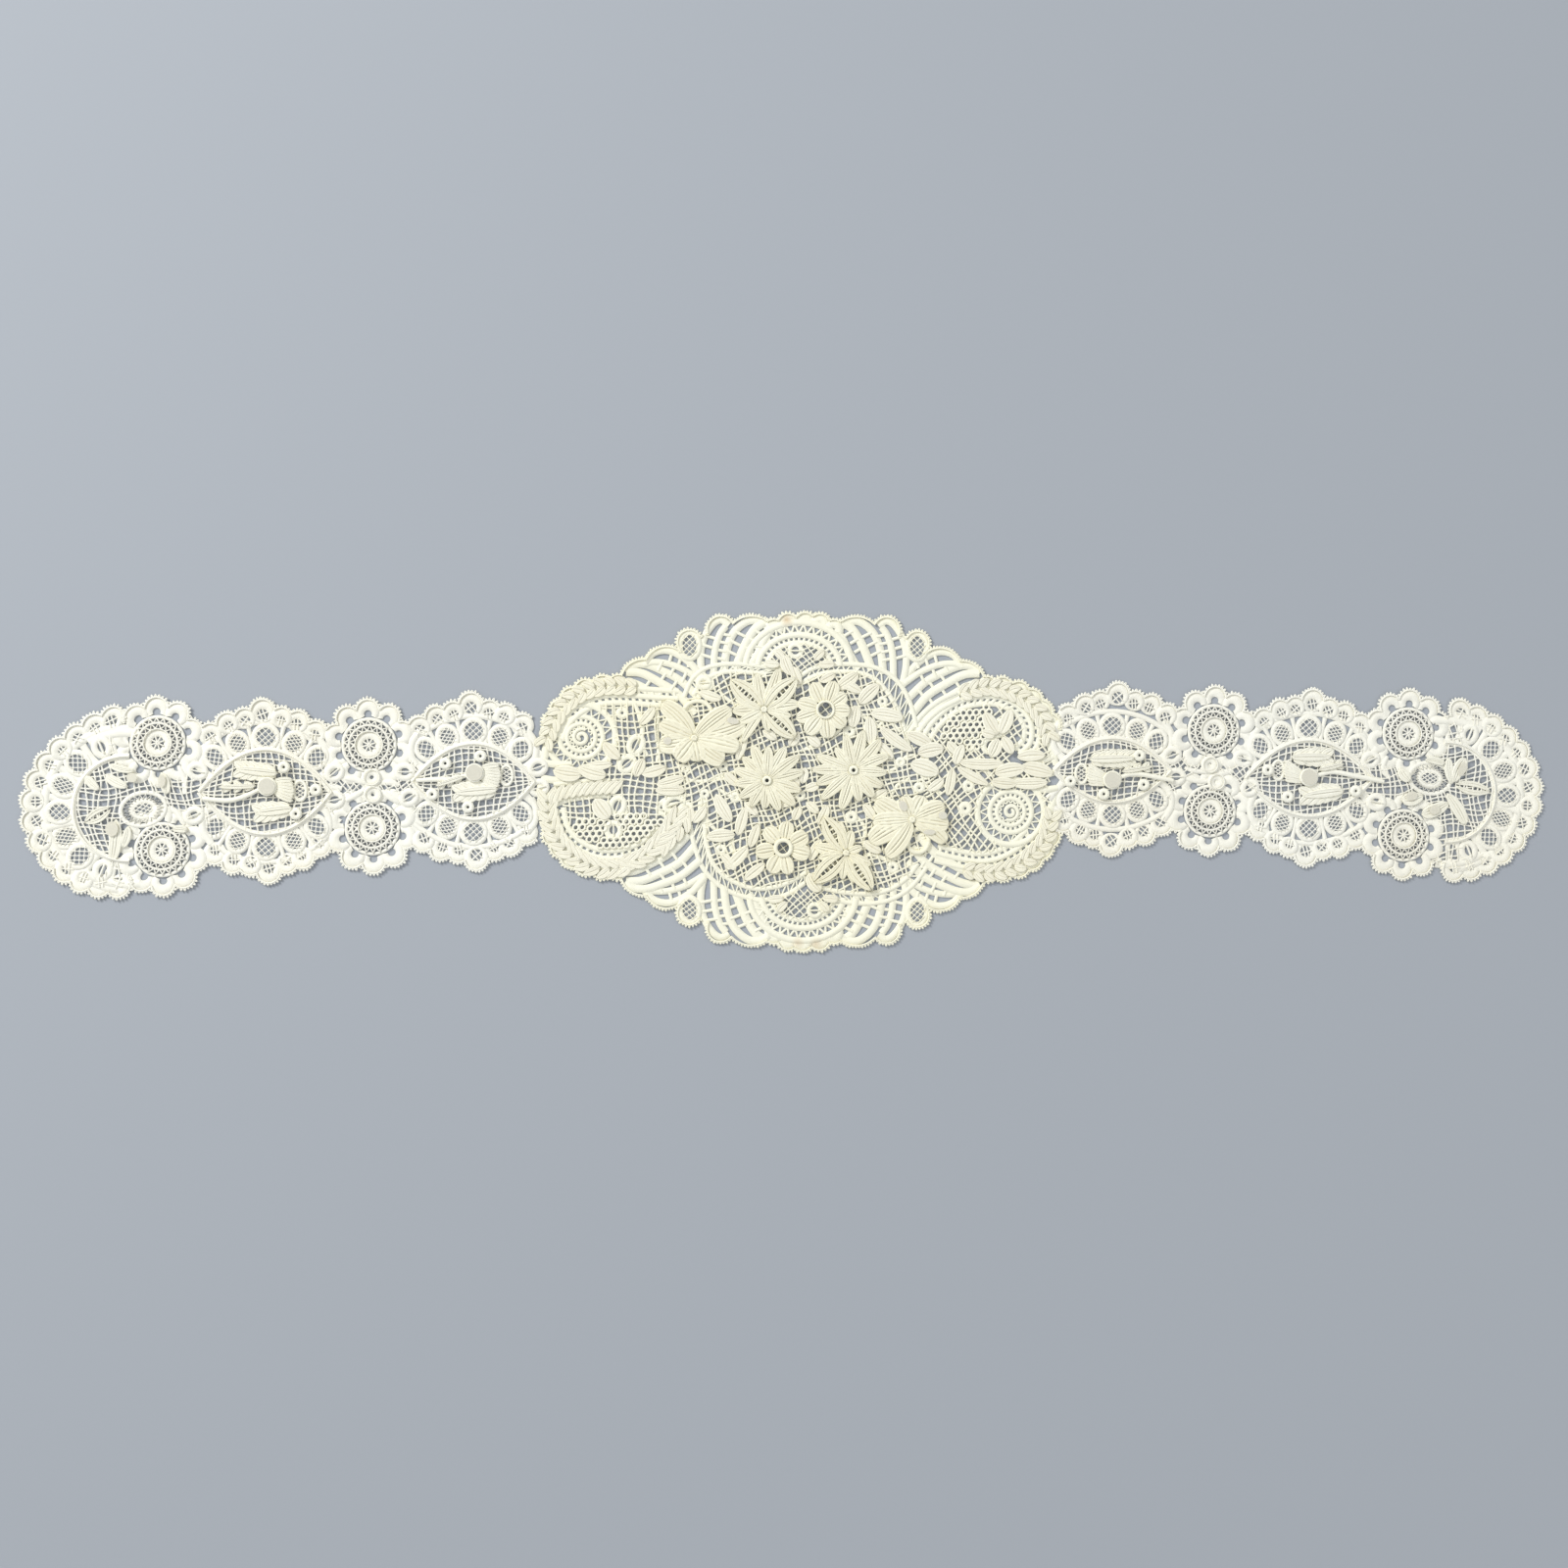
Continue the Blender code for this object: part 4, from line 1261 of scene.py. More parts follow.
FLOWERS = (
    Flower(
        node="lily_upper", x=-57.5, y=23, foot=0.8,
        petals=(
            (134, 25, 10.5, 4, -1.8), (158, 20, 9.5, 3, 0), (190, 19, 11, 4, 1), (232, 15, 10.5, 3, 0),
            (281, 12.8, 9.5, 3, 0), (322, 20, 11, 4, -1), (348, 24.5, 10, 3, 0.6), (16, 28, 11, 4, -1.4),
            (38, 25, 10, 4, 1),
        ),
        windows=((-56, 35.2, 6.8, 6.2, 20),),
        discs=((-37.5, 32, 3.2, 1.7, 170), (-71.5, 21.5, 2.2, 2, 0)),
    ),
    Flower(
        node="lily_lower", x=57, y=-19.8, foot=0.8,
        petals=(
            (152, 22, 11.5, 4, 1), (113, 13.5, 9, 3, 0), (64, 14, 10, 3, 0), (22, 19, 10, 4, 0.6),
            (352, 20, 9.5, 3, 0), (326, 22, 8.5, 3, 1.4), (184, 21, 10.5, 4, 0),
            (208, 25.5, 11.5, 4, -1.4), (234, 24, 9, 3, 1.6),
        ),
        windows=((60.2, -31, 4.8, 5.4, 0),),
        discs=((52, -12.5, 2, 3, 30), (73, -17.5, 2.4, 2, 0), (66, -26.3, 3.2, 1.4, 0)),
    ),
    Flower(
        node="daisy_upper", x=11.2, y=38, foot=4,
        petals=(
            (115, 16, 8.4, 3, 0), (72, 16, 8.2, 3, 0), (36, 14, 7.8, 3, 0), (357, 13.5, 8, 3, 0),
            (320, 14, 8.2, 3, 0), (276, 15.5, 9, 3, 0), (232, 16.5, 9, 3, 0), (198, 16.5, 7.6, 3, 0),
            (165, 15.5, 8, 3, 0),
        ),
        blunt=0.5, heart=(5, 1.3),
    ),
    Flower(
        node="daisy_lower", x=-11, y=-34.5, foot=4,
        petals=(
            (80, 14.5, 8.2, 3, 0), (28, 15, 9, 3, 0), (346, 14.8, 9.2, 3, 0), (282, 14.5, 7.4, 2, 0),
            (243, 15, 8.6, 2, 0), (189, 15, 8.6, 3, 0), (131, 14.5, 8.8, 3, 0),
        ),
        blunt=0.46, heart=(5.2, 2.2),
    ),
    Flower(
        node="aster_right", x=26, y=6.2, foot=2,
        petals=(
            (76, 22, 6.4, 3, 0), (102, 19, 6.2, 3, 0.4), (129, 15.5, 5.4, 3, 0), (158, 21, 6.4, 3, 0.6),
            (179, 22, 6, 3, 0), (201, 21, 6.2, 3, -0.5), (222, 23, 6.2, 3, 0), (252, 22, 7, 3, 0.4),
            (281, 17, 6, 3, 0), (307, 18, 6.4, 3, 0), (332, 18, 6.2, 3, -0.5), (356, 18, 6, 3, 0),
            (22, 20.5, 6.2, 3, 0.5), (49, 22, 6.6, 3, -0.6),
        ),
        blunt=0.56, heart=(2.6, 1.6),
    ),
    Flower(
        node="aster_left", x=-19.5, y=0.8, foot=2,
        petals=(
            (14, 20, 6.2, 3, 0), (37, 21.5, 6.6, 3, 0.4), (61, 20.5, 6.4, 3, 0), (87, 18, 6, 3, 0),
            (113, 20.5, 6.6, 3, -0.4), (136, 18, 6, 3, 0), (160, 18.5, 6.2, 3, 0.4), (186, 17, 6, 3, 0),
            (212, 17, 6, 3, 0), (238, 16.5, 5.8, 3, -0.4), (266, 15, 5.8, 3, 0), (292, 17.5, 6.2, 3, 0),
            (318, 20, 6.6, 3, 0.4), (344, 19, 6.2, 3, 0),
        ),
        blunt=0.56, heart=(2.6, 1.6),
    ),
    Flower(
        node="spray_upper", x=-21, y=38, foot=1.2,
        petals=(
            (101, 19.5, 6.6, 3, 0.6), (70, 23, 7, 3, -0.6), (9, 19, 7.4, 3, 0.5), (-14, 15, 4.8, 2, 0),
            (-80, 12, 4.6, 2, 0), (183, 17, 6.8, 3, 0), (207, 15, 5.6, 2, 0.4), (236, 21, 4.8, 2, -0.5),
            (162, 16, 4.6, 2, 0),
        ),
        slits=((139, 23.5, 9.6, 6), (44, 23.5, 9.6, 5), (-42, 22, 9, 5)), blunt=0.55,
    ),
    Flower(
        node="spray_lower", x=22, y=-37.2, foot=1.2,
        petals=(
            (76, 12.5, 6, 2, 0), (100, 17, 5.4, 2, 0.4), (168, 17, 7.2, 3, 0.4), (190, 15, 5.2, 2, 0),
            (262, 14.5, 5, 2, 0), (284, 16.5, 5, 2, 0), (20, 9.5, 4.4, 2, 0), (336, 15, 5.6, 2, -0.6),
        ),
        slits=((122, 22.5, 9, 5), (222, 23, 9.2, 5), (-55, 24, 9.6, 6)), blunt=0.55,
    ),
)
# Loose leaves of the medallion: x0, y0, x1, y1, width, veined fields, bend
LEAVES = (
    (-38, -21, -45.5, -7.5, 6.2, 3, 0.6), (-36, -27.5, -50, -28.5, 6, 3, 0),
    (-35, -28, -31, -14.5, 5.2, 2, 0), (-28.5, -34.5, -24.5, -23, 4.6, 2, 0),
    (-29.5, -34, -40, -44.5, 5.4, 2, 0.5), (-20.5, -42.5, -30.5, -50.5, 4.8, 2, 0),
    (29, 41, 38.8, 50.5, 6.4, 3, 0.5), (27.5, 40.5, 25.5, 29.5, 6.2, 3, 0),
    (35, 36, 51, 33.5, 6.6, 3, 0.8), (34.5, 34.5, 35.5, 20.5, 6, 3, 0), (40, 29, 56, 17.5, 5.4, 3, -0.8),
    (28.5, 57.5, 18, 50, 6, 3, 0.5), (16.5, 57, 9, 53, 4.2, 2, 0), (9, -57.5, 3, -48.5, 6.4, 3, 0.8),
    (-6.5, 56, -10.5, 66, 5.4, 3, 0.6), (-2, 51, -5.6, 60, 4.8, 2, 0.3),
    (54, 25.4, 66.4, 19.8, 6.2, 3, 0.5), (-51.5, -12.5, -57.5, -20.5, 4.6, 2, 0.4),
    (56, 9.5, 70, 5, 8, 3, 0.6), (60, 15, 73, 17.5, 7, 3, 0.6), (82, 15, 76.5, 21, 4.6, 2, 0.3),
    (80, 9, 84, 19, 5, 2, 0.4), (82, 10.5, 104, 10, 5.6, 3, -0.8), (81, 8, 96.5, -0.5, 4.6, 2, -0.5),
    (78.5, 7.5, 76, -6, 4.8, 2, 0.4), (74, 2, 66, -4, 4.4, 2, 0.4), (-62.5, 2.5, -76, -1, 5.4, 3, 0.5),
    (-62, -4.5, -76.5, -4.5, 5.4, 3, -0.5), (-72, 8, -84, 4.5, 5.4, 2, 0.5),
    (-84, 12.5, -88, 3.5, 5.2, 3, 0), (-86, 30, -79, 38.5, 4.6, 2, -0.6),
    (-103, 3.5, -116.5, 7.5, 7, 3, 0.7), (-116, 4, -129.5, 6, 7.4, 3, 0.7),
    (-96, 12, -104, 20, 5.4, 2, 0.4), (-100, 9.5, -113, 8.5, 4.4, 2, 0.3), (101, 4.5, 116, 7, 7, 3, 0.5),
    (115, 8, 131, 4.5, 7, 3, 0.6), (99, 0.5, 112, -0.5, 5.4, 3, -0.5), (110, -0.5, 128, 0, 5.6, 3, -0.5),
    (113, 13, 127, 14, 5.6, 2, 0.6), (-101.5, -19, -108.5, -9.5, 8, 3, 0.4),
    (103, 25, 96.5, 36, 6.6, 3, 0.6), (104, 25.5, 109, 37.5, 6, 2, -0.6), (103, 23, 99, 14, 6.4, 3, 0.4),
    (105, 24, 110, 15.5, 5.4, 2, 0.4), (101.5, 24.5, 94.5, 26.5, 4.6, 2, 0),
    (-2, -2, -9.5, 4.5, 4.6, 2, 0.3), (-1, -1, 0.5, 7, 4.6, 2, 0), (0.5, -4, 7.5, -1.5, 4.4, 2, 0),
    (-4.5, -8, -12, -12.5, 4.8, 2, -0.4), (-2.5, -12.5, -5.5, -19.5, 4.4, 2, 0.3),
    (1, -10.5, 7, -16, 4.4, 2, 0.3), (-31, 27.5, -35, 12.5, 4.4, 2, 0.6),
    (-22, 27, -15, 22.5, 4.2, 2, 0.3), (-3, 26.5, -7.5, 19.5, 4.8, 2, 0.3), (1.5, 24, 8, 19, 4.6, 2, 0.3),
    (18, 52.5, 29.5, 47.5, 4.6, 2, 0.6), (38, 21, 46, 12.5, 4.8, 2, 0.4),
    (-34, -2, -41, 4.5, 4.4, 2, 0.3), (-31.5, -10.5, -25, -17, 4.2, 2, 0.3),
    (7.5, -22.5, 12, -13, 4.6, 2, -0.4), (31, -11.5, 37, -19.5, 4.4, 2, 0.4),
    (44, -4, 36, -9, 4.6, 2, 0.3), (-43, 43.5, -54, 47, 4.6, 2, 0.5),
    (-44, -37, -36.5, -45.5, 4.2, 2, 0.3), (3, -41.5, 8.5, -31, 4.6, 2, 0.3),
    (41, -37, 32, -31.5, 4.6, 2, 0.3),
)
# Rings with a bar along their opening: x, y, half length, half height, turn
CURLS = (
    (-97.5, -12.5, 4.4, 3.4, 70), (-99.5, -25, 3.8, 3.6, 90), (-92.6, 9.6, 4.2, 3.4, 40),
    (-87.8, 19.4, 4.6, 3.4, 65), (-68, -11.5, 5, 3.6, 20), (98.6, 19.6, 3.8, 3.2, 60),
    (103.4, 28.4, 4.6, 3.4, 35), (-52.5, 52, 3, 2.6, 0),
)
# Bands of plain tape that link the motifs: width, then control points
LINKS = (
    (2.6, ((-88.5, 41), (-86, 34), (-84.5, 27), (-85.5, 20), (-82, 14))),
    (2.4, ((-77.5, 41), (-76.5, 33), (-77, 25), (-76, 17), (-77, 10.5))),
    (2.4, ((-54, -8), (-54.5, -14), (-50, -21), (-46, -25.5))),
    (2.6, ((-68, -8), (-74, -10), (-76.5, -14.5), (-70.5, -18), (-63.5, -16), (-60.5, -11))),
    (2.2, ((-66, -11), (-71, -12.5), (-68, -15), (-64.5, -12.5))),
    (2.4, ((-37, -29), (-38.5, -33), (-36, -39))), (2, ((26, 40), (33, 33.5), (41, 28.5))),
    (2.2, ((40, 30), (44, 33), (51, 26.5))), (2.4, ((91, 9.5), (96, 6), (101, 3))),
    (2.4, ((31.5, -38.2), (38, -38.5), (44, -41), (51, -40))), (2, ((60, -2), (66, -2.5), (73, -6))),
    (2.4, ((-99.5, 21), (-99, 30), (-99.5, 40))),
    (1.9, ((-63, 1.5), (-54, 0.4), (-45, 2.2), (-36, 5.6), (-33, 6.4))),
    (1.9, ((-45, 48.5), (-41, 44), (-35.5, 40.5), (-31, 38.5))), (1.9, ((-2, 16), (4, 19), (9, 23))),
    (1.9, ((14, 23.5), (18, 26.5), (20.5, 30))), (1.9, ((43, 6), (48, 7), (53.5, 13), (58.5, 14.5))),
    (1.9, ((46, -7.5), (50, -1), (56, 2))), (1.9, ((-33, -8), (-39, -7), (-46, -3))),
    (1.9, ((27, -17), (32, -24), (31, -33))), (2, ((-96, -8), (-93, -14), (-93.5, -21))),
    (3.8, ((117, 15.5), (125, 11.5), (133, 13.5))), (3.8, ((119, 5.5), (127, 4), (135, 5.5))),
    (3.8, ((120, -2.5), (128, -4), (135, -3))), (4.2, ((128.5, 24), (132, 17), (134, 9))),
    (4.2, ((129, -20), (132, -12), (134.5, -4))), (4.2, ((-133, 25), (-134.5, 17), (-136, 9))),
    (3.8, ((-125, 1.5), (-131, 1), (-137, 2.5))), (3.8, ((-121, 9.5), (-129, 9), (-136, 10.5))),
    (3.8, ((-131.5, -8), (-135.5, -6), (-138, -1))), (3.8, ((-135, -9), (-136, -15), (-137, -20))),
)


@dataclass(frozen=True)
class Garland:
    """A row of overlapping pointed leaves along a line.

    Attributes:
        path: Control points of the line their feet stand on.
        count: How many leaves.
        length: Length of a leaf.
        width: Its width.
        lean: Its angle to the line, degrees, to the left when more than 0.
        both: Whether leaves stand on both sides.
        bed: Width of the tape under them.
    """

    path: tuple[tuple[float, float], ...]
    count: int
    length: float
    width: float
    lean: float
    both: bool = False
    bed: float = 0.0

    def draw(self, pricking: Pricking) -> None:
        """Work the tape and the leaves."""
        line = smooth(self.path)
        if self.bed:
            pricking.tape(line, self.bed, False, 0.0)
        feet = along(line, self.count)
        ahead = along(line, self.count, 0.01, 1.01) - along(line, self.count, -0.01, 0.99)
        for k, (foot, way) in enumerate(zip(feet, ahead)):
            for side in (1, -1) if self.both else (1,):
                turn = math.atan2(way[1], way[0]) + math.radians(side * self.lean)
                reach = self.length * (0.94 + 0.12 * golden(k))
                tip = foot + reach * np.array([math.cos(turn), math.sin(turn)])
                bend = 0.6 * side * (1 if self.lean > 0 else -1)
                pricking.petal(foot, tip, self.width, 2, GARLAND_LEAF, bend)


GARLANDS = (
    Garland(
        ((-91, -44), (-104, -45), (-116, -41), (-126, -32.5), (-132, -21), (-133.5, -10)), 13, 9, 4.4, 32,
        True, 5.5,
    ),
    Garland(((-97, -43.5), (-86, -39.5), (-76, -31), (-69, -21.5)), 8, 10, 4, 24, True, 4),
    Garland(((-131.5, -12), (-124, -9), (-112, -7), (-101, -6.5)), 10, 10, 4.4, 46, False, 4),
    Garland(
        ((83, 47), (95, 50), (107, 48.5), (117.5, 43.5), (125, 36), (129.5, 26)), 12, 7.5, 4.2, 34, True,
        6,
    ),
    Garland(
        ((85, -46.5), (97, -48), (109, -45.5), (119.5, -39.5), (127.5, -31), (131, -20)), 12, 7.5, 4.2,
        34, True, 6,
    ),
    Garland(
        ((-88, 49.5), (-100, 50), (-112, 48), (-122.5, 42), (-129.5, 33.5), (-134, 23)), 12, 7.5, 4.2, 34,
        True, 6,
    ),
    Garland(((-60, -13), (-64, -22), (-72, -31)), 5, 9, 4, 26, True, 3),
)


@dataclass(frozen=True)
class Braid:
    """Several tapes side by side, joined by wide bars that leave rows of eyelets.

    Attributes:
        path: Control points of its middle line.
        tapes: How many tapes.
        width: Width of a tape.
        gap: Clear space between two.
        pitch: Distance from one eyelet to the next.
    """

    path: tuple[tuple[float, float], ...]
    tapes: int = 3
    width: float = 2.9
    gap: float = 1.1
    pitch: float = 3.6

    def draw(self, pricking: Pricking) -> None:
        """Work its tapes and bars."""
        line = smooth(self.path)
        step = self.width + self.gap
        shifts = [(k - (self.tapes - 1) / 2) * step for k in range(self.tapes)]
        for shift in shifts:
            pricking.tape(offset(line, shift), self.width, False, 0.1)
        pricking.cover.mark(pricking.place(line), np.full(len(line), self.tapes * step / 2))
        for low, high in zip(shifts, shifts[1:]):
            count = max(2, int(path_length(line) / self.pitch))
            left, right = offset(line, low + 0.6), offset(line, high - 0.6)
            pricking.bars(left, right, count, False, self.pitch * 0.26)


BRAIDS = (
    Braid(((-66, 43.5), (-78, 44.2), (-92, 45.2), (-105, 44.8), (-116, 41), (-125, 33.5), (-129.5, 24))),
    Braid(
        (
            (62, 21.5), (66.5, 29.5), (73, 36.5), (82, 42.5), (93, 45.2), (104, 44.8), (114, 40),
            (120.5, 31.5), (120.5, 21.5), (114.5, 14.5),
        ),
    ),
    Braid(((70, -37.5), (80, -40), (92, -42), (103, -40.5), (113, -35.5), (121, -28.5))),
    Braid(
        (
            (-127.5, -13.5), (-125, -24.5), (-117, -33), (-106, -37.5), (-94, -37), (-83, -32.5),
            (-74.5, -25),
        ),
        2, 3, 1.2,
    ),
    Braid(((57, 24.5), (63, 33), (71.5, 40.5), (82, 46)), 2, 3, 0.9, 3.4),
    Braid(((-130.5, -3), (-121, -2), (-111, -1), (-101, -1)), 2, 2.6, 0.8, 3.2),
)


@dataclass(frozen=True)
class Coil:
    """A round scroll: rings of tape, a barred ring between them, and a coil at its heart."""

    x: float
    y: float
    start: float

    def draw(self, pricking: Pricking) -> None:
        """Work it from the outside in."""
        pricking.cover.close(self.x, self.y, 18.0, 17.5)
        for radius, width in ((17.3, 3.2), (10.9, 2.7), (7.2, 2.3)):
            pricking.tape(ellipse(self.x, self.y, radius * 1.03, radius), width, True, 0.12)
        for low, high, count, lean in ((11.9, 16.1, 20, True), (8.0, 9.9, 22, False), (4.8, 6.3, 14, True)):
            inner, outer = (np.vstack([c, c[:1]]) for c in (self._circle(low), self._circle(high)))
            pricking.bars(inner, outer, count, lean, 0.42 if lean else 0.8)
        turns = np.linspace(0.0, 1.0, 40)
        heading = np.radians(self.start + 560.0 * turns)
        radius = 4.6 - 3.6 * turns
        coil = np.column_stack([self.x + radius * np.cos(heading), self.y + radius * np.sin(heading)])
        pricking.tape(coil, 2.2, False, 0.2, 0.3)

    def _circle(self, radius: float) -> Points:
        """Points round it."""
        return ellipse(self.x, self.y, radius * 1.03, radius)


COILS = (Coil(-116.3, 23.2, 60.0), Coil(109.8, -15.8, 240.0))


@dataclass(frozen=True)
class Crown:
    """The arched panel under the middle of a long edge."""

    x: float
    y: float
    sign: int
    heart: tuple[float, float]

    def _arch(self, half_x: float, half_y: float) -> Points:
        """An arch over its foot, from right to left."""
        turn = np.radians(np.linspace(6.0, 174.0, 46))
        return np.column_stack([self.x + half_x * np.cos(turn), self.y + self.sign * half_y * np.sin(turn)])

    def draw(self, pricking: Pricking) -> None:
        """Work its arches, the bars between them and its heart."""
        for half_x, half_y, width in ((28.2, 24.3, 3.4), (21.8, 17.8, 3.2), (17.2, 13.6, 2.6)):
            pricking.tape(self._arch(half_x, half_y), width, False, 0.1)
        pricking.bars(self._arch(22.6, 18.6), self._arch(27.2, 23.3), 15, True, 0.6)
        pricking.bars(self._arch(18.0, 14.4), self._arch(21.0, 17.0), 19, False, 0.7)

        def inside(points: Points) -> Points:
            """Which points lie under the innermost arch."""
            dx, dy = (points[:, 0] - self.x) / 17.0, (points[:, 1] - self.y) / 13.4
            return (dx * dx + dy * dy < 1) & (self.sign * dy > -0.12)

        pricking.ring(*self.heart, 4.4, 2.4, 0.3)
        x, y = self.heart
        pricking.strand(np.array([(x - 2.6, y), (x, y), (x + 2.6, y)]), 0.5, 0.6)
        for sign in (1, -1):
            foot = (self.x + sign * 10.0, self.y + self.sign * 2.0)
            pricking.petal(foot, (foot[0] + sign * 9.0, foot[1] + self.sign * 0.6), 4.4, 2, CROWN_LEAF)
            foot = (self.x + sign * 8.0, self.y + self.sign * 4.0)
            tip = (self.x + sign * 13.5, self.y + self.sign * 9.5)
            pricking.petal(foot, tip, 4.2, 2, CROWN_LEAF, sign * 0.6)
        pricking.net(inside, (self.x, self.y, 18.0, 14.0), 2.7, NET_TURNS[Stitch.DIAMOND], 0.44, 0.35)


CROWNS = (Crown(-2.5, 59.6, 1, (-4.5, 69.0)), Crown(-0.5, -59.0, -1, (5.6, -67.4)))


# Ground of touching rings: x, y, half length, half height
PEA_NETS = ((-96, -27, 28, 11), (88, 30.5, 16, 12.5))
# The middle's ground ends under the rails and the side panels
FIELD = (
    (66, 20), (61, 24.5), (56, 33), (50.5, 42), (45, 50), (36, 56.5), (25, 59.3), (14, 59), (4.5, 57),
    (-3.5, 53), (-8, 57.5), (-20, 58.5), (-30, 59.5), (-40, 59.8), (-50, 57.5), (-56.5, 52.5),
    (-60.5, 45), (-66, 40), (-66, -18), (-56.5, -20), (-54.5, -32), (-51, -42.5), (-45, -50),
    (-36, -55.6), (-26.5, -58.5), (-16, -58), (-6.5, -54.5), (1.5, -50), (8, -56.5), (20, -60.4),
    (32, -61.4), (42, -60.5), (50, -57), (57, -51.5), (63, -44), (66, -30),
)
# Square grounds: x, half length, pitch, turns, how far the strands wander
GROUNDS = ((0, 64, 3.3, (18, 104), 0.55), (-98, 33, 3.6, (2, 91), 0.45), (98, 33, 3.4, (38, 124), 0.65))


@dataclass
class Medallion:
    """The lozenge-shaped middle of the lace."""

    cover: Cover = field(default_factory=Cover)

    def draw(self) -> tuple[Pricking, dict[str, Pricking]]:
        """Draw the whole medallion.

        Returns:
            The pattern of its cloth, and that of each raised flower by node.
        """
        cloth = Pricking(self.cover)
        for quarter in QUARTERS.values():
            self._border(cloth.at(quarter.place))
        self._edges(cloth)
        self._rails(cloth)
        for motif in (*BRAIDS, *COILS, *CROWNS, *GARLANDS):
            motif.draw(cloth)
        flowers = {flower.node: flower.draw(cloth) for flower in FLOWERS}
        for x0, y0, x1, y1, width, fields, bend in LEAVES:
            x1, y1 = x1 + 0.1 * (x1 - x0), y1 + 0.1 * (y1 - y0)
            cloth.petal((x0, y0), (x1, y1), FULLER * width, fields, LOOSE_LEAF, bend)
        for x, y, half_x, half_y, turn in CURLS:
            cloth.curl(x, y, turn, half_x, half_y)
        for width, points in LINKS:
            cloth.tape(smooth(points), width, False, 0.1, 0.3)
        for x, y, radius in PEAS:
            cloth.ring(x, y, radius, radius - 0.7, 0.35)
        self._ground(cloth)
        return cloth, flowers

    def _border(self, cloth: Pricking) -> None:
        """The long loops of one quarter, the bars between them and its netted loop."""
        for width, points in QUARTER_TAPES:
            cloth.tape(smooth(points), width)
        for x0, y0, x1, y1, bow, width, count in BORDER_SLOTS:
            way = np.array([x1 - x0, y1 - y0])
            side = np.array([-way[1], way[0]]) / np.linalg.norm(way)
            for k in range(1, count):
                share = k / count
                spot = np.array([x0, y0]) + way * share + side * bow * 4 * share * (1 - share)
                reach = side * (width / 2 + 1.3)
                cloth.strap(np.linspace(spot - reach, spot + reach, 3), 0.85)
        cloth.loop(60.0, 71.4, 3.6, 5.4, 3.0, Stitch.DIAMOND, 0.0)

    def _edges(self, cloth: Pricking) -> None:
        """The scalloped edge above and below."""
        for right, left in (("upper_right", "upper_left"), ("lower_left", "lower_right")):
            row: list[Scallop] = []
            for name in (right, left):
                quarter = QUARTERS[name]
                lobes = []
                for x, y, radius, worked, width in QUARTER_LOBES:
                    px, py = quarter.place(np.array([[x, y]]))[0]
                    lobes.append(Scallop(px, py, radius, width, 0, worked))
                foot = lobes[-1]
                end_x, end_y = foot.x + quarter.sign_x * 2.0, foot.y - quarter.sign_y * 7.5
                lobes.append(Scallop(end_x, end_y, foot.radius, 3.6, 0))
                row += lobes[::-1] if name == right else lobes[1:]
            scalloped_edge(cloth, row, lambda lobe: (lobe.x / 2, 0.0), 1)

    def _rails(self, cloth: Pricking) -> None:
        """Double rails with zigzag bars."""
        for inner, outer, count in RAILS:
            low, high = smooth(inner), smooth(outer)
            cloth.tape(low, 2.5, False, 0.1)
            cloth.tape(high, 2.5, False, 0.1)
            low, high = along(low, 60, 0.04, 1.0), along(high, 60, 0.04, 1.0)
            cloth.bars(low, high, count, True, 0.42)
            for share in np.linspace(0.0, 1.0, 9):
                cloth.cover.mark(low + (high - low) * share, np.full(len(low), 1.5))

    def _ground(self, cloth: Pricking) -> None:
        """The square ground, wherever no motif covers it."""

        def inside(points: Points) -> Points:
            """Which points lie within the borders."""
            x, y = np.abs(points[:, 0]), np.abs(points[:, 1])
            sides = (x < 130.0) & (x >= 60) & (((x - 97.0) / 36.0) ** 2 + (y / 47.0) ** 2 < 1)
            return within(points, outline) | sides

        outline = np.array(FIELD)

        for x, y, half_x, half_y in PEA_NETS:
            cloth.pea_net(x, y, half_x, half_y)
            cloth.cover.close(x, y, half_x, half_y)
        for x, half, pitch, turns, wave in GROUNDS:
            cloth.net(inside, (x, 0.0, half, 62.0), pitch, turns, 0.56, wave)


# ---------------------------------------------------------------- arms


# Scallops beside a window, from its centre: along, out, radius
EYE_LOBES = (
    (-26, 28, 5.7), (-17.4, 33.8, 5.5), (-9.2, 36.2, 5.3), (0.2, 39.9, 6.1), (9.4, 36.4, 5.3),
    (18.2, 34.4, 5.5), (27, 29.2, 5.7),
)
EYES = ((30.8, 0.0), (136.8, 1.3))  # centre along the arm, how much further out its rounds stand
ROSETTES = ((83.7, 21.5), (190.3, 27.4))
# Netted loops along a window's rib: share of its half length, net's half width and half height, stitch
WINDOW_LOOPS = (
    (-0.64, 3.5, 4.5, Stitch.DIAMOND), (-0.345, 3.6, 4.4, Stitch.HALF), (0, 4.7, 4.6, Stitch.DIAMOND),
    (0.345, 3.6, 4.4, Stitch.HALF), (0.64, 3.5, 4.5, Stitch.DIAMOND),
)
# Rounds on the rounded end's rib: degrees above straight out, stitch of its net or none
FAN_LOOPS = (
    (67.5, None), (43, Stitch.DIAMOND), (20, Stitch.HALF), (-3, Stitch.DIAMOND), (-25, Stitch.HALF),
    (-45.5, Stitch.DIAMOND), (-68.5, None),
)
RIB_RADIUS = 26.8
# The band past each end of a window, from its centre: along, out
WINDOW_SHOULDER = ((29.5, 8.5), (32.0, 14.0), (31.5, 20.5), (27.5, 26.5))


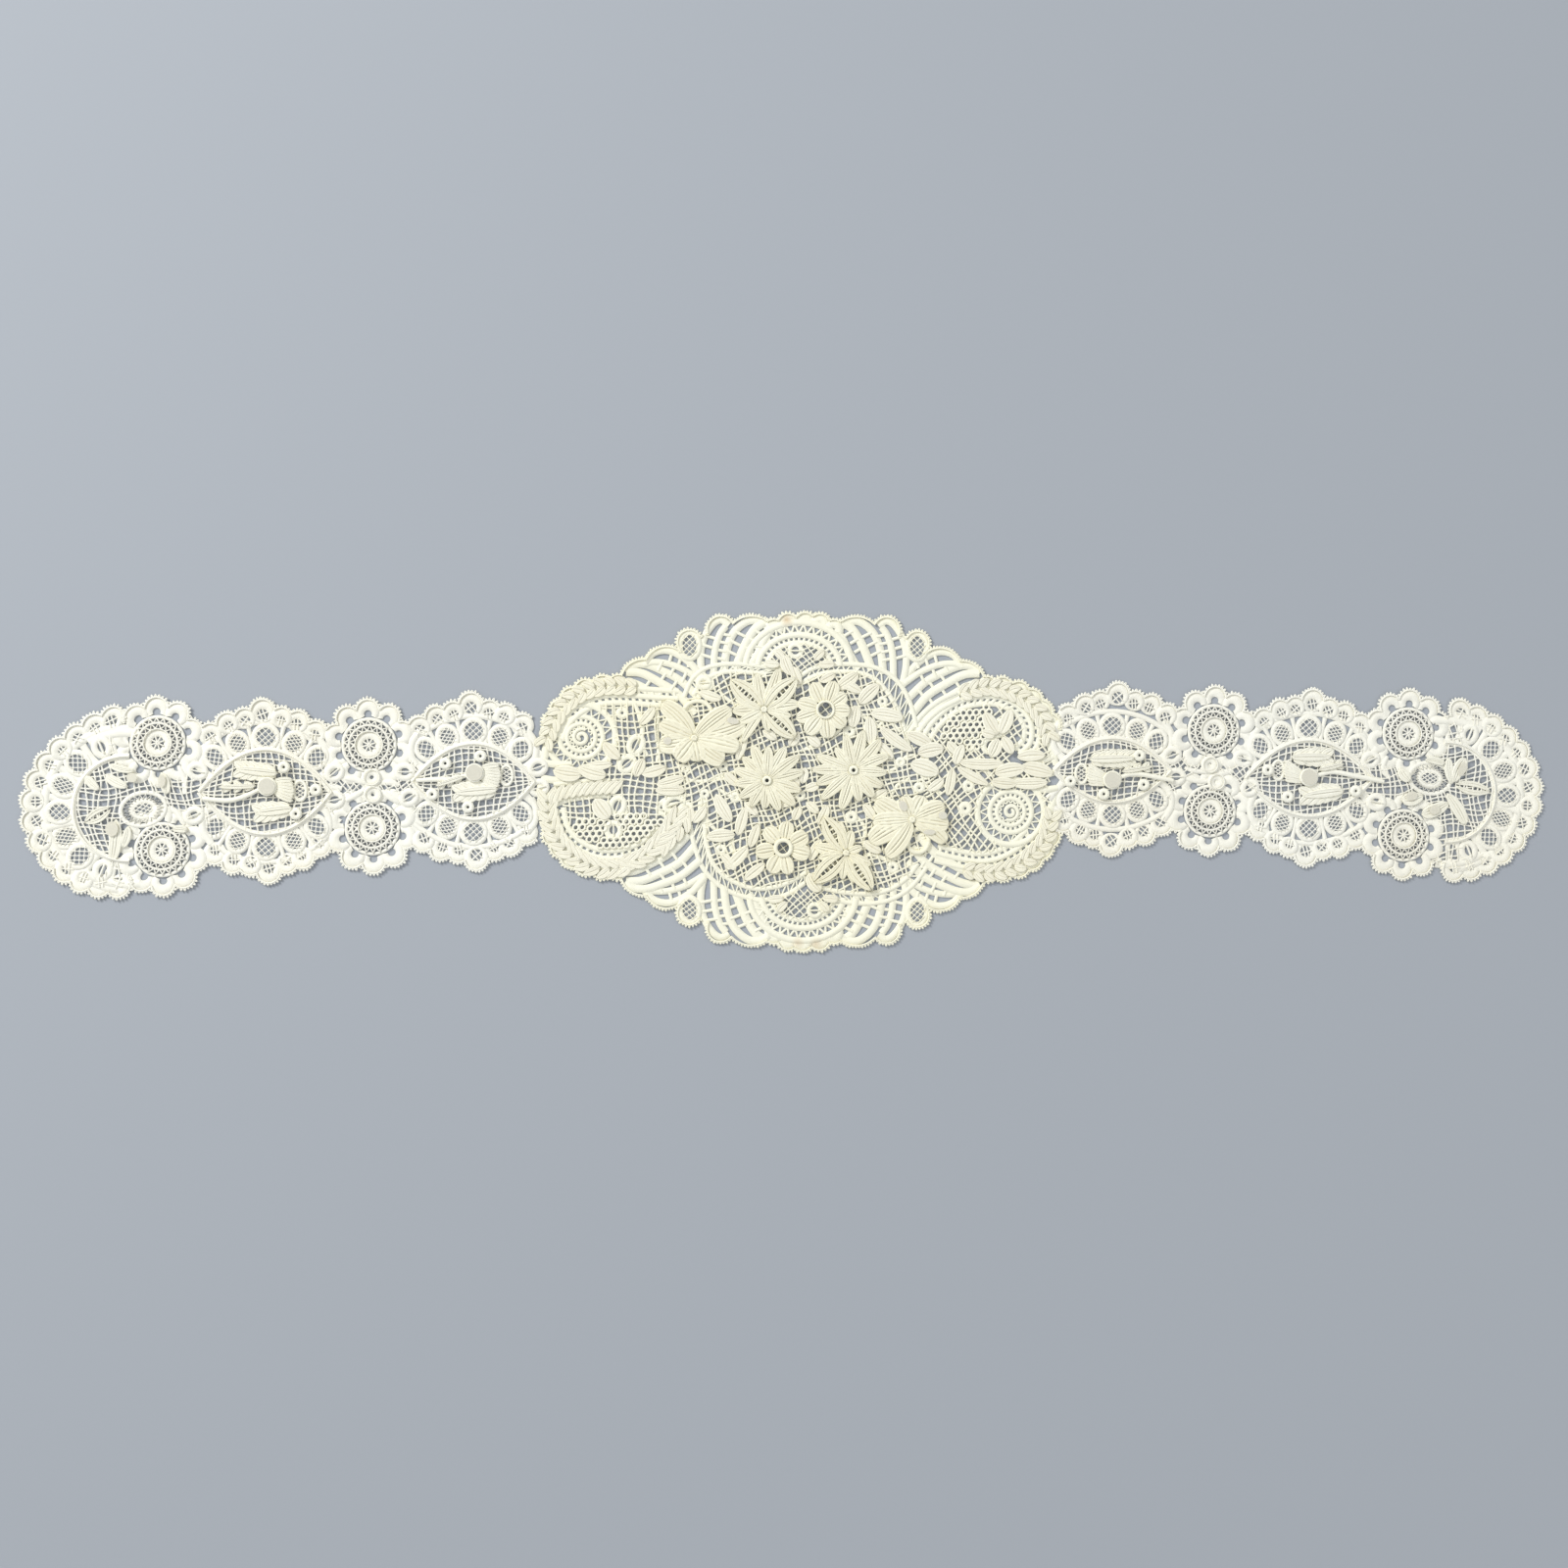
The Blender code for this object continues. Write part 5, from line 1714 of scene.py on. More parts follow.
@dataclass(frozen=True)
class Window:
    """An almond-shaped opening between two curved ribs, with netted loops along both."""

    x: float
    y: float
    half: float
    rise: float

    def rib(self, side: int) -> Points:
        """The middle line of the rib above (1) or below (-1)."""
        share = np.linspace(-1.0, 1.0, 52)
        return np.column_stack([self.x + share * self.half, self.y + side * self.rise * (1 - share**2)])

    def spot(self, share: float, away: float, side: int) -> tuple[Points, float]:
        """A point off the rib.

        Args:
            share: Where on the rib, from -1 to 1.
            away: Distance from the rib.
            side: 1 above, -1 below.

        Returns:
            The point, and the way out from the rib in degrees.
        """
        slope = -2 * self.rise * share / self.half
        out = np.array([-slope, 1.0]) / math.hypot(slope, 1.0)
        spot = np.array([share * self.half, self.rise * (1 - share**2)]) + out * away
        heading = side * math.degrees(math.atan2(out[1], out[0]))
        return np.array([self.x + spot[0], self.y + side * spot[1]]), heading

    def warp(self, points: Points) -> Points:
        """Bend a square net to the opening, so that its rows follow the ribs."""
        squeeze = np.sqrt(np.maximum(0.08, 1 - (points[:, 0] / self.half) ** 2))
        return np.column_stack([self.x + points[:, 0], self.y + points[:, 1] * squeeze])

    def inside(self, points: Points) -> Points:
        """Which points of the square net lie between the ribs once bent."""
        fall = 1 - (points[:, 0] / self.half) ** 2
        return (fall > 0) & (np.abs(points[:, 1]) < self.rise * np.sqrt(np.maximum(fall, 0.0)))

    def draw(self, cloth: Pricking) -> None:
        """Work the ribs, the loops and the cloth between them and the scallops."""
        for side in (1, -1):
            rib = self.rib(side)
            cloth.tape(rib, 3.0, False, 0.3)
            cloth.cord(rib, 0.36, 1.05)
            outer = [self.spot(share, 14.4, side)[0] for share in np.linspace(-0.72, 0.72, 40)]
            cloth.tape(np.array(outer), 2.8)
            for share, half_x, half_y, stitch in WINDOW_LOOPS:
                (x, y), out = self.spot(share, half_y + 2.0, side)
                cloth.loop(x, y, half_x, half_y, 2.7, stitch, out - 90.0)
            for share in (-0.82, -0.5, -0.18, 0.18, 0.5, 0.82):
                wide = 2.0 if abs(share) < 0.8 else 3.6
                line = np.linspace(self.spot(share, 1.0, side)[0], self.spot(share, 13.0, side)[0], 9)
                cloth.tape(line, wide, False, 0.02, -0.3)
            for end in (-1, 1):
                points = [(self.x + x * end, self.y + y * side) for x, y in WINDOW_SHOULDER]
                cloth.tape(smooth(points), 3.6, False, 0.06)


@dataclass(frozen=True)
class Thistle:
    """A thistle: narrow petals from a sheer disc to a netted crown, feathery leaves and a stem."""

    node: str
    x: float
    y: float
    way: int
    lean: float
    stem: tuple[tuple[float, float], ...]
    leaves: tuple[tuple[float, float, float, float, float, int], ...]
    rings: tuple[tuple[float, float], ...]

    def draw(self, own: Pricking) -> None:
        """Work it on its own node's pattern."""
        for k in range(7):
            lean = (k - 3) / 3
            root = (self.x + self.way * 3.2, self.y + 2.6 * lean)
            tip = (self.x + self.way * (14.2 - 1.2 * abs(lean)), self.y + self.lean + 5.4 * lean)
            own.petal(root, tip, 3.0, 2, THISTLE_PETAL, 0.5 * lean)
        crown = (self.x + self.way * 16.2, self.y + self.lean)
        own.loop(*crown, 2.4, 4.4, 1.5, Stitch.HALF, 0.0)
        own.cover.close(*crown, 3.0, 5.0)
        own.tape(smooth(self.stem), 2.6, False, 0.4, 0.25)
        for x0, y0, x1, y1, width, lobes in self.leaves:
            own.feather((x0, y0), (x1, y1), FULLER * width, max(3, lobes - 2))
        own.ring(self.x, self.y, 4.9, 1.2, 0.9)
        own.disc(self.x, self.y, 4.2, 4.0)
        for x, y in self.rings:
            own.ring(x, y, 3.2, 2.5, 0.6)


@dataclass
class Arm:
    """One arm: two almond windows, four rosettes and a rounded end."""

    node: str
    x: float
    y: float
    turn: float
    longer: float
    drift: tuple[tuple[float, float], ...]
    windows: tuple[Window, ...]
    thistles: tuple[Thistle, ...]
    curls: tuple[tuple[float, float, float], ...]
    bows: tuple[tuple[float, float], ...]
    wings: tuple[tuple[float, tuple[tuple[float, float], ...]], ...]
    fan_centre: tuple[float, float]
    fan_heart: tuple[float, float, float]
    fan_leaves: tuple[tuple[float, float, float, float, float, int], ...]
    fan_discs: tuple[tuple[float, float, float, float, float], ...]
    cover: Cover = field(default_factory=Cover)

    @property
    def way(self) -> int:
        """1 when the arm runs to the right, -1 to the left."""
        return 1 if self.x > 0 else -1

    @property
    def fan(self) -> float:
        """How far along the rounded end's centre is."""
        return 211.5 + self.longer

    def place(self, points: Points) -> Points:
        """Carry points along and across the arm into the row frame."""
        along_arm, out = points[:, 0], points[:, 1].copy()
        shift = np.full(len(out), self.drift[0][1], float)
        for (a, low), (b, high) in zip(self.drift, self.drift[1:]):
            part = along_arm >= a
            shift[part] = (low + (high - low) * ease((along_arm - a) / (b - a)))[part]
        out = out + shift
        c, s = math.cos(math.radians(self.turn)), math.sin(math.radians(self.turn))
        return np.column_stack([self.x + along_arm * c - out * s, self.y + along_arm * s + out * c])

    def draw(self) -> tuple[Pricking, dict[str, Pricking]]:
        """Draw the arm.

        Returns:
            The pattern of its cloth, and that of each thistle by node.
        """
        level = Pricking(self.cover)
        arm = level.at(self.place)
        self._edge(arm)
        for window in self.windows:
            window.draw(level)
        for index in range(2):
            for side in (1, -1):
                self._rosette(arm, index, side)
        self._fan(level)
        self._bow(level)
        thistles = {}
        for thistle in self.thistles:
            thistles[thistle.node] = Pricking(self.cover)
            thistle.draw(thistles[thistle.node])
        self._ground(level)
        return level, thistles

    def _edge(self, cloth: Pricking) -> None:
        """The scallops all round."""
        row = [Scallop(-4.0, 27.0, 6.0)] + self._side_row(1)
        for k in range(14):
            degrees = 84.0 * (1 - 2 * k / 13)
            reach = 43.2 + 3.0 * math.cos(math.radians(degrees)) ** 4
            turn = math.radians(degrees)
            row.append(Scallop(self.fan + reach * math.cos(turn), reach * math.sin(turn), 5.8, 3.0, 3))
        row += self._side_row(-1)[::-1] + [Scallop(-4.0, -27.0, 6.0)]
        scalloped_edge(cloth, row, lambda lobe: (min(lobe.x, self.fan), 0.0), -1)

    def _side_row(self, side: int) -> list[Scallop]:
        """Scallops and free petals of one side, from the medallion outwards."""
        row: list[Scallop] = []
        for (centre, further), (along_at, out), leans in zip(
            EYES, ROSETTES, ((-72, -36, 0, 36, 72), (-72, -36, 0, 36, 66))
        ):
            row += [Scallop(centre + a, side * (o + further), r) for a, o, r in EYE_LOBES]
            for lean in leans:
                turn = math.radians(90.0 - lean)
                x, y = along_at + 17.6 * math.cos(turn), side * (out + 17.6 * math.sin(turn))
                row.append(Scallop(x, y, 5.9, worked=False))
        return row

    def _rosette(self, cloth: Pricking, index: int, side: int) -> None:
        """A rosette: a starred ring, two rows of mesh and ten looped petals."""
        x, y = ROSETTES[index]
        y *= side

        def spoke(turn: float, reach: float) -> Points:
            """A point at an angle and distance from the middle."""
            return np.array([x + reach * math.cos(turn), y + reach * math.sin(turn)])

        for k in range(10):
            turn = 90.0 * side + 36.0 * k
            turns = math.radians(turn) + np.radians(np.linspace(-128.0, 128.0, 15))
            centre, hub = (spoke(math.radians(turn), reach) for reach in (17.4, 15.9))
            cloth.holed(centre, 5.9, hub, 2.0, turns, 0.05, False)
        cloth.tape(ellipse(x, y, 13.3, 13.3, step=1.5), 1.7, True, 0.35)
        cloth.tape(ellipse(x, y, 5.2, 5.2, step=1.2), 4.2, True, 0.35)
        cloth.cord(ellipse(x, y, 7.1, 7.1, step=1.2), 0.34, 1.0, True)
        cloth.strand(arc(x, y, 10.1, 0.0, 360.0, 1.5), 0.66, 0.62)
        for low, high, count in ((7.2, 10.1, 17), (10.1, 12.7, 22)):
            step = 2 * math.pi / count
            points = [spoke(k * step / 2, high if k % 2 else low) for k in range(2 * count + 1)]
            cloth.strand(np.array(points), 0.76, 0.5)
        cloth.stop(x, y, 21.5)
        for k in range(8):
            turn = math.radians(45.0 * k + 15.0)
            cloth.strand(np.linspace(spoke(turn, 0.2), spoke(turn, 3.4), 3), 0.46, 0.6)

    def _bow(self, cloth: Pricking) -> None:
        """The rings and wings between two windows, and the small barred rings."""
        for width, points in self.wings:
            cloth.tape(smooth(points), width, False, 0.25, 0.4)
        for x, y in self.bows:
            cloth.ring(x, y, 4.9, 3.9, 0.45)
            cloth.cord(ellipse(x, y, 4.0, 4.0, step=1.2), 0.3, 1.2, True)
        for x, y, turn in self.curls:
            cloth.curl(x, y, turn)

    def _fan(self, cloth: Pricking) -> None:
        """The rounded end: loops on a rib, an oval rosette and leaves on the ground."""
        fx, fy = self.fan_centre

        def spot(degrees: float, reach: float) -> tuple[float, float]:
            """A point at an angle from straight out and a distance from the middle."""
            turn = math.radians(degrees)
            return fx + self.way * reach * math.cos(turn), fy + reach * math.sin(turn)

        def round_at(reach: float, degrees: float, count: int) -> Points:
            """Points on an arc to both sides of straight out."""
            return np.array([spot(a, reach) for a in np.linspace(degrees, -degrees, count)])

        for degrees, stitch in FAN_LOOPS:
            x, y = spot(degrees, 33.9)
            turn = degrees if self.way > 0 else 180.0 - degrees
            if stitch is None:
                cloth.tape(ellipse(x, y, 4.4, 3.6, turn), 3.4, True, 0.1)
                cloth.strand(np.linspace(spot(degrees, 30.6), spot(degrees, 37.2), 4), 0.6, 0.6)
            else:
                cloth.loop(x, y, 5.0, 3.9, 2.8, stitch, turn)
        for (a, _), (b, _) in zip(FAN_LOOPS, FAN_LOOPS[1:]):
            middle = (a + b) / 2
            cloth.tape(np.linspace(spot(middle, 27.5), spot(middle, 41.5), 9), 3.4, False, 0.0, -0.5)
        cloth.tape(round_at(41.6, 84.0, 60), 4.4)
        rib = round_at(RIB_RADIUS, 92.0, 56)
        cloth.tape(rib, 3.0, False, 0.3)
        cloth.cord(rib, 0.36, 1.05)
        for side in (1, -1):
            turns = np.linspace(side * 60.0, side * 99.0, 20)
            cloth.tape(np.array([spot(a, 38.8) for a in turns]), 4.4, False, 0.03)
            for degrees in (77.5, 88.0):
                line = np.linspace(spot(side * degrees, 27.5), spot(side * degrees, 37.5), 9)
                cloth.tape(line, 2.6, False, 0.0, -0.4)
        hx, hy, lean = self.fan_heart
        cloth.loop(hx, hy, 4.4, 2.7, 3.0, Stitch.HALF, lean)
        cloth.tape(ellipse(hx, hy, 11.4, 8.4, lean), 2.2, True, 0.35)
        c, s = math.cos(math.radians(lean)), math.sin(math.radians(lean))
        zigzag = []
        for k in range(45):
            turn, far = math.pi * k / 22, k % 2
            half_x, half_y = (10.5, 7.5) if far else (6.9, 5.2)
            px, py = half_x * math.cos(turn), half_y * math.sin(turn)
            zigzag.append((hx + px * c - py * s, hy + px * s + py * c))
        cloth.strand(np.array(zigzag), 0.42, 0.42)
        cloth.cover.close(hx, hy, 11.4, 8.6)
        for x0, y0, x1, y1, width, bars in self.fan_leaves:
            if bars:
                cloth.slit_leaf((x0, y0), (x1, y1), width, bars)
            else:
                cloth.petal((x0, y0), (x1, y1), width, 3, FAN_LEAF, 0.8)
        for x, y, half_x, half_y, turn in self.fan_discs:
            cloth.disc(x, y, half_x, half_y, turn)

    def _ground(self, cloth: Pricking) -> None:
        """The curved ground of the windows and the slanting ground between them and at the end."""
        for window in self.windows:
            box = (0.0, 0.0, window.half, window.rise)
            cloth.at(window.warp).net(window.inside, box, 3.5, (3.0, 90.0), 0.47, 0.42)
        fx, fy = self.fan_centre
        first, second = self.windows
        bow = ((first.x + second.x) / 2, (first.y + second.y) / 2)
        link = (second.x + self.way * (second.half + 4.0), (second.y + fy) / 2 + 2.0)

        def beyond(points: Points) -> Points:
            """Which points lie in neither window."""
            free = np.ones(len(points), bool)
            for window in self.windows:
                share = (points[:, 0] - window.x) / window.half
                free &= ~(np.abs(points[:, 1] - window.y) < window.rise * (1 - share**2))
            return free

        def in_bow(points: Points) -> Points:
            """Which points lie between the windows."""
            away = np.abs(points - bow)
            return beyond(points) & (away[:, 0] < 24.0) & (away[:, 1] < 14.0)

        def in_fan(points: Points) -> Points:
            """Which points lie in the rounded end or its way in."""
            near = (np.abs(points[:, 0] - link[0]) < 15.0) & (np.abs(points[:, 1] - link[1]) < 12.0)
            away = points - (fx, fy)
            lean = np.degrees(np.arctan2(np.abs(away[:, 1]), self.way * away[:, 0]))
            shoulder = (np.hypot(*away.T) < 38.0) & (lean > 72.0) & (lean < 108.0)
            return beyond(points) & ((np.hypot(*away.T) < RIB_RADIUS) | near | shoulder)

        cloth.net(in_bow, (*bow, 24.0, 14.0), 2.9, (37.0, 124.0), 0.43, 0.45)
        cloth.net(in_fan, (fx, fy, 50.0, 38.0), 3.2, (5.0, 97.0), 0.46, 0.6)


ARMS = (
    Arm(
        node="left_arm", x=-140.7, y=1.8, turn=182.2, longer=-3.6,
        drift=((0, 0), (84, 0.9), (137, 1.3), (190, 1.8), (242, 7)),
        windows=(Window(-171.7, 0.2, 31.5, 19.6), Window(-277.5, -5.2, 33.5, 21.7)),
        thistles=(
            Thistle(
                node="thistle_left_inner", x=-171, y=4.8, way=1, lean=-1.4,
                stem=((-175, 3.6), (-182, 1.5), (-191, 1.4), (-201, 0.8)),
                leaves=((-159, -3.6, -181, -5.6, 8.5, 7), (-176.5, 3, -191, -2, 4.6, 3)),
                rings=((-168, 13.4), (-174.4, -13), (-192.8, -6.4), (-186, 9.6)),
            ),
            Thistle(
                node="thistle_left_outer", x=-276.3, y=-2.3, way=1, lean=-2.2,
                stem=((-280, -3.6), (-287, -7), (-296, -9.5), (-309, -8.5)),
                leaves=(
                    (-271, 4.4, -292, 6.6, 8, 7), (-263.5, -13.6, -282, -16, 8.5, 6),
                    (-282, -2, -301, -2.6, 5, 4),
                ),
                rings=((-268, 7.6), (-251.9, -4), (-262, -16.4)),
            ),
        ),
        curls=(
            (-138.7, 7.6, 20), (-138.1, -3, 15), (-207, 5.3, 0), (-204.8, -8, 30), (-242.7, 4.9, 40),
            (-242.7, -9.2, 12), (-312, 5.6, -12), (-313.7, -17.2, 25),
        ),
        bows=((-223.7, 2.4), (-223.1, -6.4)),
        wings=(
            (3.2, ((-227.5, -0.8), (-232, 1.2), (-237, 2))),
            (3.2, ((-227.5, -4), (-232, -6.8), (-237, -9.5))),
            (3.2, ((-219.2, -0.6), (-214.5, -0.2), (-209.8, -1.8))),
            (3.2, ((-219, -4.6), (-214.8, -7.6), (-210, -10.8))),
            (3.4, ((-248, -3), (-244, -2.4), (-239, -3.6))),
            (3, ((-321.5, 8.5), (-318.5, 1), (-318.5, -6))),
            (3, ((-318.5, -22), (-322, -16), (-326.5, -12.5))),
        ),
        fan_centre=(-347, -13.6), fan_heart=(-339.2, -13.9, 12),
        fan_leaves=(
            (-355.5, -13.5, -368, -20.8, 6, 3), (-346.5, -2.4, -357.5, 3.4, 5.2, 0),
            (-343, 5.8, -356, 9, 3.6, 0), (-330, 5, -327.5, -6.5, 5, 0),
            (-352.5, -19, -354.5, -40.5, 6.5, 0), (-360.5, -4, -367.5, 3.5, 4.5, 0),
            (-346.5, -22.5, -349.5, -33.5, 4.5, 0), (-324.5, -24.5, -316.5, -25, 4, 0),
        ),
        fan_discs=((-354.2, -23.9, 3.2, 3.8, 0), (-344.2, 2.2, 2.6, 2.4, 0), (-329.2, 0.6, 1.9, 3.2, 0)),
    ),
    Arm(
        node="right_arm", x=134.5, y=6.8, turn=-2.7, longer=2.5,
        drift=((0, 0.6), (84, 3.2), (137, 2), (190, 0.9), (242, -2.4)),
        windows=(Window(164.5, 6.2, 31.5, 17), Window(271.3, 2, 35, 20.4)),
        thistles=(
            Thistle(
                node="thistle_right_inner", x=163.9, y=1.2, way=-1, lean=3.2,
                stem=((167.5, 2.4), (176, 4.4), (186, 3), (197, 0.8)),
                leaves=((151.5, 12, 176, 12.8, 8, 8), (169, 5.6, 186, 8.4, 5, 4)),
                rings=((159.4, -6.4), (178.6, 14.2), (181, -1.4), (141.6, 0.5)),
            ),
            Thistle(
                node="thistle_right_outer", x=270.6, y=2.6, way=-1, lean=3.8,
                stem=((274.5, 3.5), (284, 5.4), (296, 3.4), (312, 0.2)),
                leaves=(
                    (261, 13.4, 283, 13.6, 8.5, 7), (290, -4.6, 267.5, -7.4, 9, 7),
                    (276, 6.6, 290, 9.8, 5, 3),
                ),
                rings=((296.4, -4.8), (248.4, 6.5), (259.3, -8)),
            ),
        ),
        curls=(
            (196.7, 14.3, 20), (198.9, 2.9, 0), (235.5, 12.6, -15), (239, -3, 30), (305.2, 12, 25),
            (308.4, -10.7, -12),
        ),
        bows=((217.2, 9.2), (220.8, 0.2)),
        wings=(
            (2.6, ((203.5, 7.6), (210, 5.8), (219, 5.4))), (2.6, ((203, 2.4), (210, 0.6), (218.5, 0.4))),
            (3.6, ((219, 3), (224, 4.8), (230, 6))), (3.2, ((217, -4), (223, -3.2), (229, -5))),
            (3, ((202, -4), (206, -5.8), (209, -5.4))), (3, ((314.5, 14), (312, 7), (316, 2))),
        ),
        fan_centre=(347, -5.5), fan_heart=(338, 2.1, -8),
        fan_leaves=(
            (352, -1.5, 371, -5, 6.5, 3), (350, -1, 348.2, 13, 5, 0), (351, 0, 357.5, 13, 6.5, 0),
            (347, -6, 357.5, -23, 6.5, 0), (348, -11, 333, -17.5, 7, 0), (334, -7, 322, -9.6, 7, 0),
            (327, 0.5, 321.5, 7.5, 6, 0), (335, 12, 346, 9.6, 4, 0),
        ),
        fan_discs=((355, 7, 2.2, 3.8, -25), (339.6, -14.8, 3, 2.4, 25), (327, -7.4, 3.2, 2.4, 20)),
    ),
)


# ---------------------------------------------------------------- finishes


class Value:
    """A number in a material's tree, which the usual signs combine."""

    def __init__(self, tree: ShaderTree, socket: bpy.types.NodeSocket) -> None:
        """Hold one output socket of a tree."""
        self.tree, self.socket = tree, socket

    def _join(self, operation: str, other: Value | float, swap: bool = False) -> Value:
        """This value and another through a Math node."""
        pair = (other, self) if swap else (self, other)
        return self.tree.maths(operation, *pair)

    def __add__(self, other: Value | float) -> Value:
        """Their sum."""
        return self._join("ADD", other)

    def __mul__(self, other: Value | float) -> Value:
        """Their product."""
        return self._join("MULTIPLY", other)

    def __sub__(self, other: Value | float) -> Value:
        """This one less the other."""
        return self._join("SUBTRACT", other)

    def __rsub__(self, other: Value | float) -> Value:
        """The other less this one."""
        return self._join("SUBTRACT", other, swap=True)

    def __truediv__(self, other: Value | float) -> Value:
        """This one divided by the other."""
        return self._join("DIVIDE", other)

    __radd__ = __add__
    __rmul__ = __mul__

    def over(self, level: Value | float) -> Value:
        """1 where it is more than a level, else 0."""
        return self._join("GREATER_THAN", level)

    def clamp(self) -> Value:
        """Kept between 0 and 1."""
        return self.tree.maths("MINIMUM", self.tree.maths("MAXIMUM", self, 0.0), 1.0)

    def cosine(self) -> Value:
        """Its cosine."""
        return self.tree.maths("COSINE", self)


class ShaderTree(NodeTree):
    """The node tree of one material."""

    def __init__(self, name: str) -> None:
        """Start a material with a Principled surface."""
        self.material = bpy.data.materials.new(name)
        self.material.use_nodes = True
        self.nodes, self.links = self.material.node_tree.nodes, self.material.node_tree.links
        self.surface = next(n for n in self.nodes if n.type == "BSDF_PRINCIPLED")

    def maths(self, operation: str, *values: object) -> Value:
        """A Math node's result, which the usual signs combine further."""
        return Value(self, self.result(operation, *values))

    def noise(self, scale: float, detail: float = 3.0) -> Value:
        """Smooth noise over Object coordinates."""
        vector = self.node("ShaderNodeTexCoord").outputs["Object"]
        made = self.node("ShaderNodeTexNoise", None, Vector=vector, Scale=scale, Detail=detail)
        return Value(self, made.outputs["Fac"])

    def attribute(self, name: str) -> Value:
        """A stored number of the mesh."""
        return Value(self, self.node("ShaderNodeAttribute", {"attribute_name": name}).outputs["Fac"])

    def mix(self, share: Value | float, low: object, high: object) -> bpy.types.NodeSocket:
        """A blend of two colours."""
        made = self.node("ShaderNodeMix", {"data_type": "RGBA"})
        self.feed(made.inputs[0], share)
        self.feed(made.inputs[6], low)
        self.feed(made.inputs[7], high)
        return made.outputs[2]

    def bump(self, height: Value, distance: float, strength: float) -> None:
        """Raise the surface's normal by a height."""
        made = self.node("ShaderNodeBump", None, Height=height, Distance=distance, Strength=strength)
        self.feed(self.surface.inputs["Normal"], made.outputs["Normal"])


def tint(red: int, green: int, blue: int) -> tuple[float, float, float, float]:
    """A linear colour from its usual 8-bit numbers."""
    shares = (red / 255, green / 255, blue / 255)
    linear = [c / 12.92 if c <= 0.04045 else ((c + 0.055) / 1.055) ** 2.4 for c in shares]
    return (*linear, 1.0)


BROWN = tint(203, 168, 118)


@dataclass(frozen=True)
class Stain:
    """A soft brown mark of age: centre, reach (mm) and strength."""

    x: float
    y: float
    reach: float
    strength: float


STAINS = (
    Stain(-9, 85.2, 4.2, 0.6), Stain(6.6, -85.1, 4.2, 0.5), Stain(-3.2, -84.6, 3.8, 0.5),
    Stain(70, 12, 16, 0.18),
)


@dataclass(frozen=True)
class Linen:
    """Worked linen thread.

    Attributes:
        name: The finish.
        colour: Clean thread.
        aged: Yellowed thread.
        shadow: Painted shade, the colour of thread deep in a groove; the stored shade, the gaps of the weave
            and a fine random tone blend towards it.
        thread: Width of one thread, m.
        relief: Strength of the thread's bump.
        stains: Marks of age.
    """

    name: str
    colour: tuple[float, float, float, float]
    aged: tuple[float, float, float, float]
    shadow: tuple[float, float, float, float]
    thread: float = 0.00042
    relief: float = 0.7
    stains: tuple[Stain, ...] = ()

    def make(self) -> bpy.types.Material:
        """Build the material."""
        tree = ShaderTree(self.name)
        across, run = self._weave(tree)
        ends = (across * (math.pi / self.thread)).cosine()
        picks = (run * (math.pi / self.thread)).cosine()
        woven = ends * picks
        cloudy = tree.noise(9.0, 4.0)
        fine = tree.noise(420.0, 2.0)
        age = ((cloudy - 0.42) * 2.6).clamp() * 0.75
        colour = tree.mix(age, self.colour, self.aged)
        # Painted shade from the stored shade, with the weave's gaps and a fine random tone, blends the colour
        # towards the shadow colour.
        painted_shade_and_tone = (tree.attribute("shade") * 0.66 + (1.0 - woven) * 0.07 + (0.5 - fine) * 0.25).clamp()
        colour = tree.mix(painted_shade_and_tone, colour, self.shadow)
        for stain in self.stains:
            colour = self._mark(tree, colour, stain)
        tree.feed(tree.surface.inputs["Base Color"], colour)
        tree.feed(tree.surface.inputs["Roughness"], fine * 0.15 + 0.74)
        tree.feed(tree.surface.inputs["Specular IOR Level"], 0.25)
        tree.feed(tree.surface.inputs["Sheen Weight"], 0.12)
        tree.bump(woven * 0.5 + fine * 0.8, 0.00012, self.relief)
        return tree.material

    def _weave(self, tree: ShaderTree) -> tuple[Value, Value]:
        """Distance across and along the thread's own path, m."""
        pair = tree.node("ShaderNodeUVMap", {"uv_map": "weave"}).outputs["UV"]
        split = tree.node("ShaderNodeSeparateXYZ", None, Vector=pair)
        return Value(tree, split.outputs["X"]), Value(tree, split.outputs["Y"])

    def _mark(self, tree: ShaderTree, colour: object, stain: Stain) -> bpy.types.NodeSocket:
        """Lay one mark of age over a colour."""
        place = tree.node("ShaderNodeTexCoord").outputs["Object"]
        away = tree.node("ShaderNodeVectorMath", {"operation": "DISTANCE"})
        tree.feed(away.inputs[0], place)
        away.inputs[1].default_value = (stain.x * MM, stain.y * MM, 0.0)
        near = (1.0 - Value(tree, away.outputs["Value"]) / (stain.reach * MM)).clamp()
        return tree.mix(near * tree.noise(160.0) * (1.8 * stain.strength), colour, BROWN)


@dataclass(frozen=True)
class Sheer:
    """A filmy woven disc that shows what is under it."""

    name: str
    colour: tuple[float, float, float, float]
    pitch: float = 0.0004

    def make(self) -> bpy.types.Material:
        """Build the material."""
        tree = ShaderTree(self.name)
        place = tree.node("ShaderNodeTexCoord").outputs["Object"]
        split = tree.node("ShaderNodeSeparateXYZ", None, Vector=place)
        ends = (Value(tree, split.outputs["X"]) * (2 * math.pi / self.pitch)).cosine()
        picks = (Value(tree, split.outputs["Y"]) * (2 * math.pi / self.pitch)).cosine()
        threads = tree.maths("MAXIMUM", ends.over(0.25), picks.over(0.25))
        tree.feed(tree.surface.inputs["Base Color"], self.colour)
        tree.feed(tree.surface.inputs["Roughness"], 0.85)
        tree.feed(tree.surface.inputs["Alpha"], threads * 0.25 + 0.6)
        return tree.material


